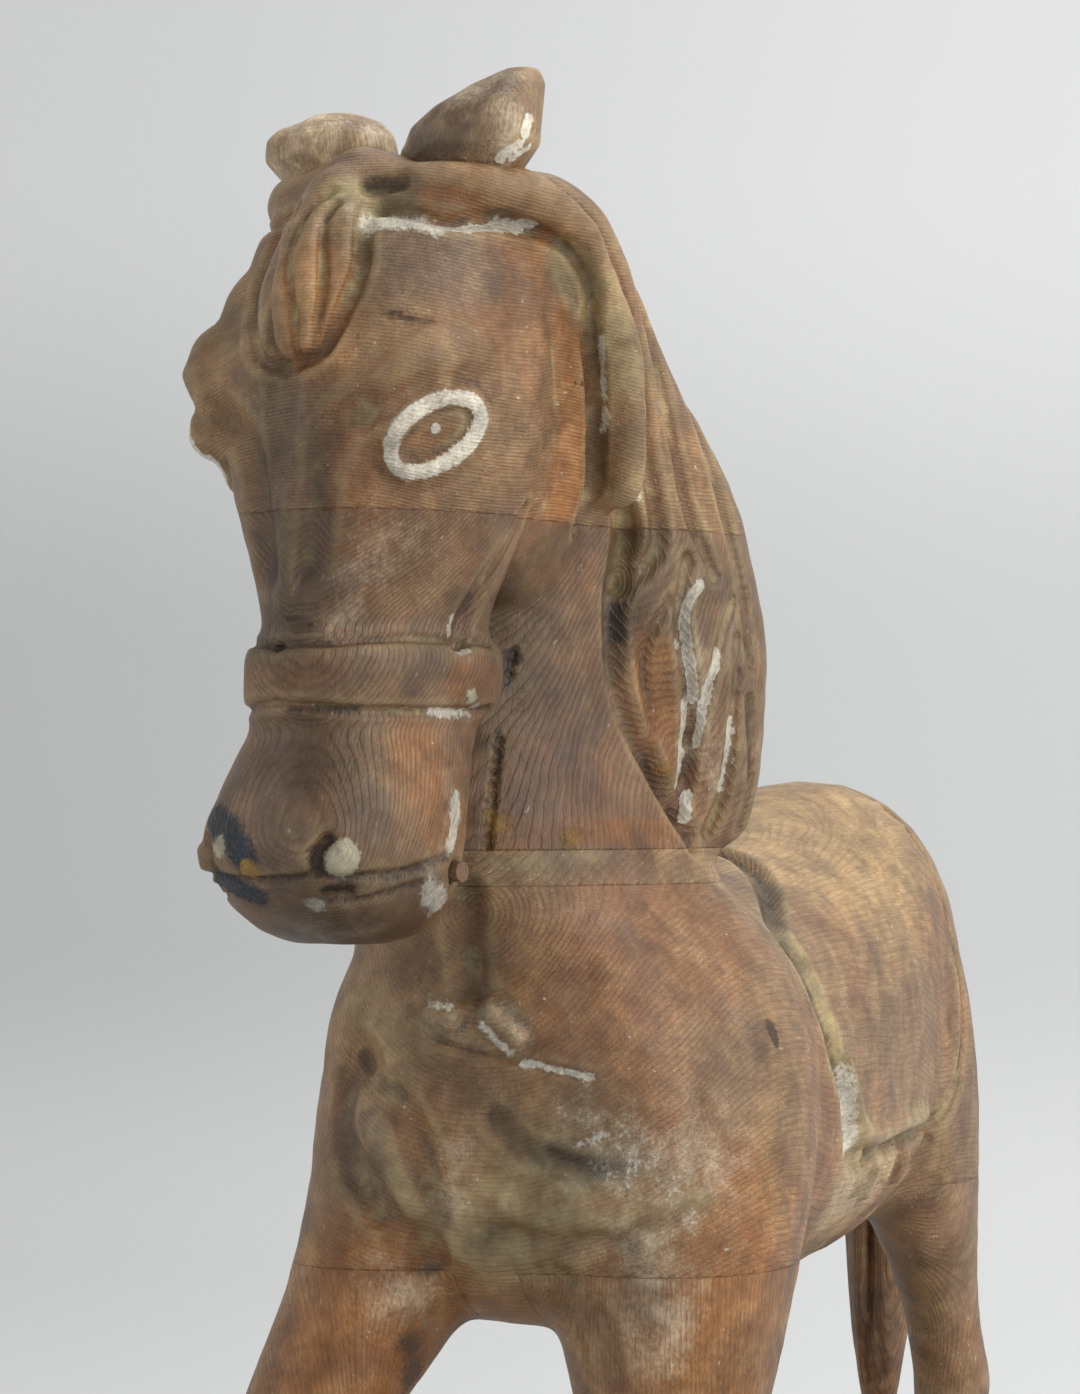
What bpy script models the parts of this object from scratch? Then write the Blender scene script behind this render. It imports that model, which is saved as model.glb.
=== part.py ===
"""A carved pine horse standing on a wheeled board, to be pulled along by a ring.

Metres, +Z up.  The horse faces -Y and its left side is +X.  The origin is on the
ground, under the middle of the whole toy.

The horse is one carved form, glued up from blocks.  The form is fused from lofts, and
the glue lines then split it into its blocks, so neighbouring blocks share one skin.
"""

import math

import bmesh
import bpy
from mathutils import Matrix, Vector

# ---------------------------------------------------------------- driving dimensions
GAP = 0.0003  # glue line and fit between two wooden pieces

WHEEL_R = 0.042
WHEEL_W = 0.020
BOARD_T = 0.022
BOARD_HALF_W = 0.135
BOARD_FRONT_Y = -0.2584
BOARD_BACK_Y = 0.2786
BOARD_CORNER_R = 0.028
BOARD_UNDER_Z = 0.092
DECK_Z = BOARD_UNDER_Z + BOARD_T

AXLE_R = 0.004
AXLE_Z = WHEEL_R
AXLE_INSET = 0.085  # from the board's end to the axle
AXLE_HALF_L = 0.129
BEARER_HALF_L = 0.094
BEARER_HALF_T = 0.022
BEARER_UNDER_Z = 0.026
SCREW_X = 0.062
HUB_HALF_L = 0.012
WHEEL_FIT = 0.0001  # running clearance of the wheel on its axle, all round
HUB_GAP = 0.0012
WASHER_T = 0.002
WASHER_R = 0.0095
AXLE_PLAY = 0.010  # how far the drilling through a bearer runs past the axle
PIN_R = 0.0016
PIN_GAP = 0.0004  # between a washer and its linch pin
SCREW_HEAD_R = 0.0055
SCREW_SHANK_R = 0.0022
SCREW_DEEP = 0.052
SCREW_SUNK = 0.0002
PIN_L = 0.021
EYE_R = 0.0065  # the screw eye and the ring, to the middle of their wires
EYE_Z = 0.103
RING_R = 0.013
WIRE_R = 0.0016
SHANK_R = 0.00168  # of the eye's screw

CHEST_Y = -0.075  # the middle of the chest, above which the neck stands
HEAD_TURN = math.radians(-11.0)  # the head looks a little to the horse's right

CROWN_SEAM_Z = 0.6145  # glue line through the face, just under the eyes
NECK_SEAM_Z = 0.506  # top of the thin neck board
SHOULDER_SEAM_Z = 0.494  # underside of the neck board
WITHERS_F = -0.046  # the neck board's back edge
SLOT_W = 0.003  # slot between jaw and neck
SLOT_TOP_Z = 0.5755
SLOT_F = 0.1005  # the slot's middle at the neck seam
SLOT_LEAN = 0.293  # how far it leans ahead as it goes down
FORELEG_SEAM_Z = 0.366
HINDLEG_SEAM_Z = 0.372
LEG_INNER_L = 0.012  # the legs' inner cheeks, each side of the belly

DOWEL_R = 0.0055
DOWEL_FIT = 0.0003

VOXEL = 0.0032
FORM_TRIANGLES = 7400
RING_POINTS = 28


# ---------------------------------------------------------------- frames
def body_point(left, ahead, up):
    """A point from distances to the left, ahead of the chest's middle, and up."""
    return Vector((left, CHEST_Y - ahead, up))


def head_point(left, ahead, up):
    """As body_point, in the frame of the head and neck, which is turned."""
    sine, cosine = math.sin(HEAD_TURN), math.cos(HEAD_TURN)
    return Vector((left * cosine + ahead * sine, CHEST_Y - ahead * cosine + left * sine, up))


# ---------------------------------------------------------------- tools
def new_collection(name):
    made = bpy.data.collections.new(name)
    bpy.context.scene.collection.children.link(made)
    return made


def object_of(name, mesh, collection):
    made = bpy.data.objects.new(name, mesh)
    collection.objects.link(made)
    return made


def mesh_of(name, fill):
    """A mesh made by fill, a function that works on a bmesh."""
    work = bmesh.new()
    fill(work)
    bmesh.ops.recalc_face_normals(work, faces=work.faces)
    mesh = bpy.data.meshes.new(name)
    work.to_mesh(mesh)
    work.free()
    return mesh


def superellipse(turn, power):
    """Unit superellipse at a turn from 0 to 1: power 2 is an ellipse, more is squarer."""
    angle = 2 * math.pi * turn
    c, s = math.cos(angle), math.sin(angle)
    return (
        math.copysign(abs(c) ** (2 / power), c),
        math.copysign(abs(s) ** (2 / power), s),
    )


def add_loft(work, rings):
    """Closed skin through rings of equally many points."""
    rows = [[work.verts.new(p) for p in ring] for ring in rings]
    count = len(rows[0])
    for low, high in zip(rows, rows[1:]):
        for i in range(count):
            j = (i + 1) % count
            work.faces.new((low[i], low[j], high[j], high[i]))
    work.faces.new(rows[0][::-1])
    work.faces.new(rows[-1])


def smooth_between(stations, steps):
    """Catmull-Rom stations between the given ones, number by number."""
    made = []
    last = len(stations) - 1
    for i in range(last):
        p0, p1 = stations[max(i - 1, 0)], stations[i]
        p2, p3 = stations[i + 1], stations[min(i + 2, last)]
        for k in range(steps):
            t = k / steps
            made.append(tuple(
                0.5 * (2 * b + (c - a) * t + (2 * a - 5 * b + 4 * c - d) * t * t
                       + (3 * b - a - 3 * c + d) * t ** 3)
                for a, b, c, d in zip(p0, p1, p2, p3)
            ))
    made.append(tuple(stations[last]))
    return made


def level_loft(work, frame, stations, power=2.3, steps=3):
    """Loft of level slices: (up, front, back, half width, how much the front narrows)."""
    rings = []
    for up, front, back, half, narrow in smooth_between(stations, steps):
        middle, reach = (front + back) / 2, (front - back) / 2
        ring = []
        for i in range(RING_POINTS):
            c, s = superellipse(i / RING_POINTS, power)
            ring.append(frame(half * s * (1 - narrow * c), middle + reach * c, up))
        rings.append(ring)
    add_loft(work, rings)


def upright_loft(work, stations, power=2.2, steps=3):
    """Loft of upright slices across the body: (ahead, top, bottom, half width)."""
    rings = []
    for ahead, top, bottom, half in smooth_between(stations, steps):
        middle, reach = (top + bottom) / 2, (top - bottom) / 2
        ring = []
        for i in range(RING_POINTS):
            c, s = superellipse(i / RING_POINTS, power)
            ring.append(body_point(half * c, ahead, middle + reach * s))
        rings.append(ring)
    add_loft(work, rings)


def limb_loft(work, frame, stations, side=1, steps=3, points=RING_POINTS):
    """Loft of level ovals: (left, ahead, up, half width, half depth)."""
    rings = []
    for left, ahead, up, half, deep in smooth_between(stations, steps):
        ring = []
        for i in range(points):
            c, s = superellipse(i / points, 2.2)
            ring.append(frame(side * left + half * c, ahead + deep * s, up))
        rings.append(ring)
    add_loft(work, rings)


def sweep(work, frame, stations, side=1, steps=4):
    """Round rope of hair: (left, ahead, up, radius)."""
    path = smooth_between(stations, steps)
    points = [frame(side * p[0], p[1], p[2]) for p in path]
    rings = []
    across = Vector((1, 0.1, 0))
    for i, (point, station) in enumerate(zip(points, path)):
        along = (points[min(i + 1, len(points) - 1)] - points[max(i - 1, 0)]).normalized()
        across = (across - along * across.dot(along)).normalized()
        other = along.cross(across)
        rings.append([
            point + station[3] * (across * math.cos(a) + other * math.sin(a))
            for a in (2 * math.pi * k / 12 for k in range(12))
        ])
    add_loft(work, rings)


def evaluated_mesh(obj):
    graph = bpy.context.evaluated_depsgraph_get()
    return bpy.data.meshes.new_from_object(obj.evaluated_get(graph))


def box_mesh(name, low, high):
    def fill(work):
        bmesh.ops.create_cube(work, size=1)
        low_corner, high_corner = Vector(low), Vector(high)
        placed = (Matrix.Translation((low_corner + high_corner) / 2)
                  @ Matrix.Diagonal((*(high_corner - low_corner), 1)))
        bmesh.ops.transform(work, matrix=placed, verts=work.verts)
    return mesh_of(name, fill)


def prism_mesh(name, frame, outline, half_width):
    """An upright outline of (ahead, up) corners, thickened to both sides."""
    def fill(work):
        sides = [[work.verts.new(frame(left, *corner)) for corner in outline]
                 for left in (-half_width, half_width)]
        work.faces.new(sides[0][::-1])
        work.faces.new(sides[1])
        for i in range(len(outline)):
            j = (i + 1) % len(outline)
            work.faces.new((sides[0][i], sides[0][j], sides[1][j], sides[1][i]))
    return mesh_of(name, fill)


def rod_mesh(name, start, end, radius, sides=16):
    def fill(work):
        along = end - start
        bmesh.ops.create_cone(
            work, cap_ends=True, segments=sides, radius1=radius, radius2=radius,
            depth=along.length,
        )
        turned = along.to_track_quat("Z", "Y").to_matrix().to_4x4()
        placed = Matrix.Translation((start + end) / 2) @ turned
        bmesh.ops.transform(work, matrix=placed, verts=work.verts)
    return mesh_of(name, fill)


def lathe_mesh(name, profile, middle, axis, sides):
    """A closed profile of (radius, along) turned about an axis through middle."""
    def fill(work):
        turned = axis.to_track_quat("Z", "Y").to_matrix()
        rows = []
        for radius, along in profile:
            angles = [2 * math.pi * k / sides for k in range(sides)]
            rows.append([
                work.verts.new(middle + turned @ Vector(
                    (radius * math.cos(a), radius * math.sin(a), along)))
                for a in angles
            ])
        for i, row in enumerate(rows):
            after = rows[(i + 1) % len(rows)]
            for k in range(sides):
                m = (k + 1) % sides
                work.faces.new((row[k], row[m], after[m], after[k]))
    return mesh_of(name, fill)


def wire_ring_profile(radius):
    """The round section of a ring of wire, as (radius, along) points."""
    return [
        (radius + WIRE_R * math.cos(a), WIRE_R * math.sin(a))
        for a in (2 * math.pi * k / 6 for k in range(6))
    ]


def as_cutter(obj):
    obj.hide_render = True
    obj.display_type = "WIRE"
    return obj


def cut(obj, cutter, operation="DIFFERENCE"):
    made = obj.modifiers.new(cutter.name, "BOOLEAN")
    made.operation = operation
    made.object = cutter


def material(name, colour, roughness, metallic=0.0):
    made = bpy.data.materials.new(name)
    made.use_nodes = True
    shader = made.node_tree.nodes["Principled BSDF"]
    shader.inputs["Base Color"].default_value = (*colour, 1)
    shader.inputs["Roughness"].default_value = roughness
    shader.inputs["Metallic"].default_value = metallic
    return made


def finish(obj, surface, sharp_deg=35):
    obj.data.materials.clear()
    obj.data.materials.append(surface)
    obj.data.shade_smooth()
    obj.data.set_sharp_from_angle(angle=math.radians(sharp_deg))
    return obj


# ---------------------------------------------------------------- the carved form
def fill_head(work):
    level_loft(work, head_point, [
        (0.4760, 0.150, 0.124, 0.014, 0.0),
        (0.4785, 0.158, 0.114, 0.022, 0.0),
        (0.4830, 0.165, 0.107, 0.028, 0.02),
        (0.4900, 0.173, 0.103, 0.033, 0.05),
        (0.5030, 0.183, 0.101, 0.0360, 0.08),
        (0.5200, 0.179, 0.099, 0.0365, 0.10),
        (0.5380, 0.170, 0.096, 0.0335, 0.20),
        (0.5480, 0.166, 0.093, 0.0305, 0.28),
        (0.5620, 0.165, 0.090, 0.0290, 0.36),
        (0.5780, 0.166, 0.088, 0.0295, 0.40),
        (0.5930, 0.167, 0.084, 0.0340, 0.36),
        (0.6100, 0.167, 0.079, 0.0410, 0.28),
        (0.6260, 0.167, 0.075, 0.0460, 0.20),
        (0.6400, 0.167, 0.072, 0.0495, 0.12),
        (0.6540, 0.167, 0.070, 0.0510, 0.08),
        (0.6690, 0.163, 0.068, 0.0500, 0.08),
        (0.6940, 0.152, 0.066, 0.0475, 0.08),
        (0.7140, 0.143, 0.066, 0.0430, 0.08),
        (0.7280, 0.130, 0.070, 0.0320, 0.10),
        (0.7350, 0.114, 0.080, 0.0200, 0.0),
    ], power=2.7)
    level_loft(work, head_point, [  # noseband
        (0.5515, 0.1705, 0.086, 0.0335, 0.32),
        (0.5530, 0.1715, 0.085, 0.0345, 0.32),
        (0.5620, 0.1720, 0.085, 0.0350, 0.34),
        (0.5715, 0.1715, 0.085, 0.0350, 0.35),
        (0.5730, 0.1705, 0.086, 0.0340, 0.35),
    ], power=3.0, steps=1)
    for side in (1, -1):
        sweep(work, head_point, [  # brow and the swell of the eye
            (0.0450, 0.118, 0.664, 0.007),
            (0.0450, 0.136, 0.667, 0.0095),
            (0.0425, 0.151, 0.660, 0.0105),
            (0.0385, 0.158, 0.648, 0.009),
            (0.0340, 0.160, 0.634, 0.005),
        ], side)
        sweep(work, head_point, [  # rolled lock behind the ear, down the cheek
            (0.014, 0.130, 0.719, 0.009),
            (0.027, 0.112, 0.716, 0.0105),
            (0.037, 0.088, 0.710, 0.0115),
            (0.043, 0.066, 0.694, 0.0120),
            (0.046, 0.052, 0.670, 0.0115),
            (0.046, 0.044, 0.644, 0.0100),
            (0.043, 0.042, 0.620, 0.0070),
        ], side)
        sweep(work, head_point, [  # nostril's rim
            (0.016, 0.171, 0.521, 0.006),
            (0.022, 0.168, 0.514, 0.008),
            (0.024, 0.166, 0.504, 0.008),
            (0.019, 0.170, 0.496, 0.006),
        ], side)
    sweep(work, head_point, [  # forelock
        (0.000, 0.112, 0.724, 0.013),
        (0.000, 0.134, 0.716, 0.014),
        (0.001, 0.146, 0.700, 0.014),
        (0.002, 0.157, 0.680, 0.011),
        (0.003, 0.164, 0.664, 0.006),
    ])


def fill_neck(work):
    level_loft(work, head_point, [
        (0.452, 0.086, -0.050, 0.062, 0.0),
        (0.478, 0.094, -0.048, 0.058, 0.05),
        (0.494, 0.097, -0.044, 0.053, 0.10),
        (0.508, 0.0985, -0.040, 0.048, 0.15),
        (0.524, 0.096, -0.036, 0.0435, 0.20),
        (0.540, 0.092, -0.036, 0.0405, 0.20),
        (0.560, 0.088, -0.034, 0.0385, 0.20),
        (0.585, 0.084, -0.032, 0.0375, 0.15),
        (0.620, 0.085, -0.028, 0.0365, 0.0),
        (0.660, 0.090, -0.012, 0.0350, 0.0),
        (0.690, 0.092, 0.004, 0.0340, 0.0),
        (0.714, 0.096, 0.018, 0.0300, 0.0),
        (0.727, 0.096, 0.032, 0.0240, 0.0),
        (0.733, 0.088, 0.050, 0.0120, 0.0),
    ])
    level_loft(work, head_point, [  # mane, lying over the neck to both sides
        (0.5070, 0.000, -0.0380, 0.0480, 0.1),
        (0.5130, 0.004, -0.0420, 0.0520, 0.1),
        (0.5300, 0.012, -0.0480, 0.0550, 0.1),
        (0.5600, 0.026, -0.0570, 0.0550, 0.1),
        (0.5800, 0.034, -0.0615, 0.0540, 0.1),
        (0.6050, 0.044, -0.0570, 0.0515, 0.1),
        (0.6300, 0.050, -0.0490, 0.0480, 0.1),
        (0.6450, 0.054, -0.0380, 0.0455, 0.1),
        (0.6650, 0.058, -0.0170, 0.0430, 0.1),
        (0.6900, 0.064, -0.0010, 0.0385, 0.1),
        (0.7100, 0.068, 0.0070, 0.0340, 0.1),
        (0.7250, 0.072, 0.0130, 0.0280, 0.1),
        (0.7360, 0.074, 0.0260, 0.0180, 0.1),
    ], power=2.6)


def fill_body(work):
    upright_loft(work, [
        (0.0930, 0.448, 0.412, 0.016),
        (0.0890, 0.472, 0.385, 0.040),
        (0.0780, 0.488, 0.362, 0.060),
        (0.0560, 0.496, 0.347, 0.0715),
        (0.0250, 0.499, 0.342, 0.0790),
        (-0.0100, 0.499, 0.341, 0.0815),
        (-0.0600, 0.502, 0.342, 0.0800),
        (-0.1100, 0.509, 0.344, 0.0770),
        (-0.1600, 0.519, 0.346, 0.0720),
        (-0.2050, 0.529, 0.351, 0.0655),
        (-0.2400, 0.528, 0.361, 0.0590),
        (-0.2680, 0.515, 0.386, 0.0500),
        (-0.2860, 0.495, 0.410, 0.0340),
        (-0.2940, 0.470, 0.436, 0.0150),
    ], power=2.35)


FORELEG_STANDING = (
    (0.036, 0.006, 0.492, 0.018, 0.028),
    (0.043, 0.009, 0.465, 0.033, 0.048),
    (0.048, 0.014, 0.432, 0.0395, 0.056),
    (0.049, 0.020, 0.398, 0.0405, 0.054),
    (0.047, 0.026, 0.366, 0.0400, 0.049),
    (0.047, 0.030, 0.335, 0.0350, 0.042),
    (0.048, 0.030, 0.300, 0.0270, 0.032),
    (0.049, 0.028, 0.268, 0.0190, 0.022),
    (0.049, 0.030, 0.247, 0.0185, 0.020),
    (0.049, 0.030, 0.226, 0.0155, 0.017),
    (0.049, 0.029, 0.198, 0.0130, 0.0145),
    (0.049, 0.028, 0.172, 0.0130, 0.0145),
    (0.049, 0.030, 0.156, 0.0150, 0.017),
    (0.049, 0.034, 0.144, 0.0150, 0.0175),
    (0.049, 0.039, 0.136, 0.0185, 0.022),
    (0.049, 0.042, 0.108, 0.0235, 0.028),
)
FORELEG_STRIDING = (
    (0.032, 0.010, 0.492, 0.016, 0.026),
    (0.038, 0.018, 0.465, 0.028, 0.044),
    (0.042, 0.028, 0.432, 0.0345, 0.050),
    (0.042, 0.038, 0.398, 0.0350, 0.048),
    (0.046, 0.050, 0.366, 0.0335, 0.041),
    (0.054, 0.064, 0.340, 0.0300, 0.034),
    (0.062, 0.080, 0.315, 0.0260, 0.029),
    (0.069, 0.100, 0.286, 0.0205, 0.023),
    (0.073, 0.115, 0.263, 0.0180, 0.020),
    (0.074, 0.122, 0.246, 0.0185, 0.020),
    (0.074, 0.120, 0.226, 0.0155, 0.017),
    (0.074, 0.114, 0.198, 0.0130, 0.0145),
    (0.074, 0.110, 0.172, 0.0130, 0.0145),
    (0.074, 0.111, 0.156, 0.0150, 0.017),
    (0.074, 0.115, 0.144, 0.0150, 0.0175),
    (0.074, 0.119, 0.136, 0.0185, 0.022),
    (0.074, 0.122, 0.108, 0.0235, 0.028),
)
HINDLEG = (
    (0.024, -0.200, 0.505, 0.016, 0.030),
    (0.032, -0.210, 0.475, 0.027, 0.050),
    (0.035, -0.214, 0.450, 0.030, 0.058),
    (0.037, -0.220, 0.425, 0.030, 0.056),
    (0.040, -0.230, 0.392, 0.027, 0.047),
    (0.042, -0.244, 0.362, 0.0215, 0.034),
    (0.043, -0.258, 0.336, 0.0165, 0.024),
    (0.043, -0.269, 0.312, 0.0145, 0.019),
    (0.043, -0.280, 0.288, 0.0150, 0.0195),
    (0.043, -0.279, 0.266, 0.0140, 0.0175),
    (0.043, -0.273, 0.232, 0.0130, 0.0145),
    (0.043, -0.268, 0.190, 0.0130, 0.0145),
    (0.043, -0.264, 0.159, 0.0150, 0.0170),
    (0.043, -0.258, 0.145, 0.0150, 0.0175),
    (0.043, -0.253, 0.136, 0.0185, 0.0220),
    (0.043, -0.250, 0.108, 0.0235, 0.0280),
)
HIND_STAGGER = 0.022  # the right hind leg stands this much further ahead


def staggered(stations, low, high, shift):
    """The stations moved ahead by up to shift, from none at height high to all at low."""
    made = []
    for left, ahead, up, half, deep in stations:
        share = min(1.0, max(0.0, (high - up) / (high - low)))
        made.append((left, ahead + shift * share, up, half, deep))
    return made


def fill_legs(work):
    limb_loft(work, body_point, FORELEG_STANDING, side=1)
    limb_loft(work, body_point, FORELEG_STRIDING, side=-1)
    limb_loft(work, body_point, HINDLEG, side=1)
    limb_loft(work, body_point, staggered(HINDLEG, 0.29, 0.42, HIND_STAGGER), side=-1)


def carved_form():
    """The whole horse in one skin: the lofts fused, eased and thinned."""
    def fill(work):
        for part in (fill_head, fill_neck, fill_body, fill_legs):
            part(work)
    rough = object_of("carved_form", mesh_of("carved_form", fill), cutters)
    fuse = rough.modifiers.new("fuse", "REMESH")
    fuse.mode = "VOXEL"
    fuse.voxel_size = VOXEL
    ease = rough.modifiers.new("ease", "SMOOTH")
    ease.factor = 0.5
    ease.iterations = 5
    mesh = evaluated_mesh(rough)
    rough.modifiers.clear()
    rough.data = mesh
    thin = rough.modifiers.new("thin", "DECIMATE")
    thin.ratio = FORM_TRIANGLES / (2 * len(mesh.polygons))
    rough.data = evaluated_mesh(rough)
    rough.modifiers.clear()
    return as_cutter(rough)


def slot_f(up, side):
    """Where a face of the slot lies at a height: side 1 is the jaw's, -1 the neck's."""
    return SLOT_F + (NECK_SEAM_Z - up) * SLOT_LEAN + side * SLOT_W / 2


MANE_BACK_F = -0.080  # behind the mane, where the neck's blocks end
HALF = GAP / 2


def head_top_outline():
    low = CROWN_SEAM_Z + HALF
    return [(-0.3, low), (0.3, low), (0.3, 0.9), (-0.3, 0.9)]


def head_neck_outline():
    """Muzzle, jaw and neck, with the slot left open between jaw and neck."""
    high, low = CROWN_SEAM_Z - HALF, NECK_SEAM_Z + HALF
    return [
        (MANE_BACK_F, high), (MANE_BACK_F, low),
        (slot_f(low, -1), low), (slot_f(SLOT_TOP_Z, -1), SLOT_TOP_Z),
        (slot_f(SLOT_TOP_Z, 1), SLOT_TOP_Z), (slot_f(0.44, 1), 0.44),
        (0.3, 0.44), (0.3, high),
    ]


def neck_board_outline():
    high, low = NECK_SEAM_Z - HALF, SHOULDER_SEAM_Z + HALF
    back = WITHERS_F + HALF
    return [(back, low), (slot_f(low, -1), low), (slot_f(high, -1), high), (back, high)]


def neck_room_outline():
    """All that is not the body: the neck board, and everything above and before it."""
    low, back = SHOULDER_SEAM_Z - HALF, WITHERS_F - HALF
    over = NECK_SEAM_Z - HALF
    return [
        (MANE_BACK_F, 0.9), (MANE_BACK_F, over), (back, over), (back, low),
        (slot_f(low, -1), low), (slot_f(0.42, -1), 0.42), (0.3, 0.42), (0.3, 0.9),
    ]


def leg_room(side, ahead_low, ahead_high, seam, grow):
    """Corners of the room a leg's block has, less (or more) half a glue line."""
    near, far = side * (LEG_INNER_L - grow), side * (0.14 + grow)
    floor = DECK_Z + GAP if grow < 0 else 0.05
    return (
        (min(near, far), CHEST_Y - ahead_high - grow, floor),
        (max(near, far), CHEST_Y - ahead_low + grow, seam + grow),
    )


LEGS = (  # name, side, ahead range of its room, seam, its dowel, its hoof's dowel
    ("foreleg_left", 1, (-0.034, 0.17), FORELEG_SEAM_Z, (0.047, 0.026), (0.049, 0.041)),
    ("foreleg_right", -1, (-0.034, 0.17), FORELEG_SEAM_Z, (0.048, 0.054), (0.074, 0.121)),
    ("hindleg_left", 1, (-0.36, -0.17), HINDLEG_SEAM_Z, (0.040, -0.240), (0.043, -0.251)),
    ("hindleg_right", -1, (-0.36, -0.17), HINDLEG_SEAM_Z,
     (0.040, -0.238), (0.043, -0.251 + HIND_STAGGER)),
)


def block(name, form):
    return object_of(name, form.data.copy(), toy)


def cutter(name, mesh):
    return as_cutter(object_of(name, mesh, cutters))


def pegged(name, start, end, radius, blocks, surface, collection):
    """A dowel with a hole for it, a little larger all round, in each of the blocks."""
    along = (end - start).normalized() * GAP
    hole = cutter(name + "_hole", rod_mesh(
        name + "_hole", start - along, end + along, radius + DOWEL_FIT))
    for one in blocks:
        cut(one, hole)
    return finish(object_of(name, rod_mesh(name, start, end, radius), collection), surface)


def build_blocks(form, pine, pine_worn):
    """The form parted along its glue lines."""
    parts = {}
    for name, outline in (
        ("head_top_block", head_top_outline()),
        ("head_neck_block", head_neck_outline()),
        ("neck_board", neck_board_outline()),
    ):
        parts[name] = block(name, form)
        cut(parts[name], cutter(name + "_room", prism_mesh(
            name + "_room", head_point, outline, 0.12)), "INTERSECT")
    parts["body_block"] = block("body_block", form)
    cut(parts["body_block"], cutter("neck_room", prism_mesh(
        "neck_room", head_point, neck_room_outline(), 0.16)))
    for name, side, (low, high), seam, _, _ in LEGS:
        parts[name] = block(name, form)
        inner = box_mesh(name + "_room", *leg_room(side, low, high, seam, -HALF))
        cut(parts[name], cutter(name + "_room", inner), "INTERSECT")
        outer = box_mesh(name + "_gap", *leg_room(side, low, high, seam, HALF))
        cut(parts["body_block"], cutter(name + "_gap", outer))
    for name, part in parts.items():
        finish(part, pine_worn if name.endswith(("left", "right")) else pine)
    return parts


EAR_SOUND = (
    (0.029, 0.104, 0.712, 0.0175, 0.0125),
    (0.029, 0.104, 0.726, 0.0220, 0.0155),
    (0.029, 0.105, 0.735, 0.0245, 0.0180),
    (0.031, 0.105, 0.742, 0.0230, 0.0175),
    (0.035, 0.103, 0.749, 0.0185, 0.0155),
    (0.040, 0.099, 0.756, 0.0120, 0.0115),
    (0.043, 0.095, 0.7615, 0.0050, 0.0050),
)
EAR_WORN = (
    (0.029, 0.104, 0.712, 0.0175, 0.0125),
    (0.029, 0.104, 0.728, 0.0215, 0.0155),
    (0.0285, 0.105, 0.737, 0.0245, 0.0180),
    (0.0290, 0.105, 0.743, 0.0235, 0.0175),
    (0.0290, 0.104, 0.748, 0.0185, 0.0140),
    (0.0285, 0.103, 0.7515, 0.0090, 0.0070),
)


def build_ear(name, stations, side, head, surface):
    """An ear let into the head."""
    def skin(grow):
        def fill(work):
            grown = [(left, ahead, up - grow * (i == 0), half + grow, deep + grow)
                     for i, (left, ahead, up, half, deep) in enumerate(stations)]
            limb_loft(work, head_point, grown, side, steps=1, points=18)
        return fill
    ear = object_of(name, mesh_of(name, skin(0)), toy)
    cut(head, cutter(name + "_socket", mesh_of(name + "_socket", skin(GAP))))
    return finish(ear, surface)


TAIL = (
    (0, -0.270, 0.480, 0.0065),
    (0, -0.288, 0.482, 0.0068),
    (0, -0.301, 0.480, 0.0110),
    (0, -0.312, 0.466, 0.0145),
    (0, -0.319, 0.438, 0.0170),
    (0, -0.320, 0.400, 0.0180),
    (0, -0.318, 0.350, 0.0165),
    (0, -0.315, 0.302, 0.0125),
    (0, -0.313, 0.264, 0.0060),
)


def build_tail(body, surface):
    """A carved tail, its tenon let into the rump."""
    tail = object_of("tail", mesh_of("tail", lambda work: sweep(
        work, body_point, TAIL, steps=2)), toy)
    grown = [(left, ahead, up, radius + GAP) for left, ahead, up, radius in TAIL]
    grown[0] = (0, TAIL[0][1] + GAP, TAIL[0][2], grown[0][3])
    cut(body, cutter("tail_mortise", mesh_of("tail_mortise", lambda work: sweep(
        work, body_point, grown, steps=2))))
    return finish(tail, surface)


def build_dowels(parts, board, beech):
    neck, body = parts["head_neck_block"], parts["body_block"]
    pegged("head_dowel", head_point(0, 0.120, 0.5950), head_point(0, 0.120, 0.6340),
           DOWEL_R, (parts["head_top_block"], neck), beech, toy)
    for name, ahead in (("neck_dowel_front", 0.055), ("neck_dowel_rear", -0.005)):
        pegged(name, head_point(0, ahead, 0.4740), head_point(0, ahead, 0.5280),
               DOWEL_R, (neck, parts["neck_board"], body), beech, toy)
    for name, side, _, seam, (left, ahead), (hoof_left, hoof_ahead) in LEGS:
        pegged(name + "_dowel",
               body_point(side * left, ahead, seam - 0.021),
               body_point(side * left, ahead, seam + 0.024),
               DOWEL_R, (parts[name], body), beech, toy)
        pegged(name + "_hoof_dowel",
               body_point(side * hoof_left, hoof_ahead, BOARD_UNDER_Z + 0.0015),
               body_point(side * hoof_left, hoof_ahead, DECK_Z + 0.020),
               DOWEL_R, (parts[name], board), beech, toy)
    for name, side in (("bit_peg_left", 1), ("bit_peg_right", -1)):
        pegged(name, head_point(side * 0.020, 0.1195, 0.4995),
               head_point(side * 0.0362, 0.1195, 0.4995), 0.0034, (neck,), beech, toy)


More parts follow.
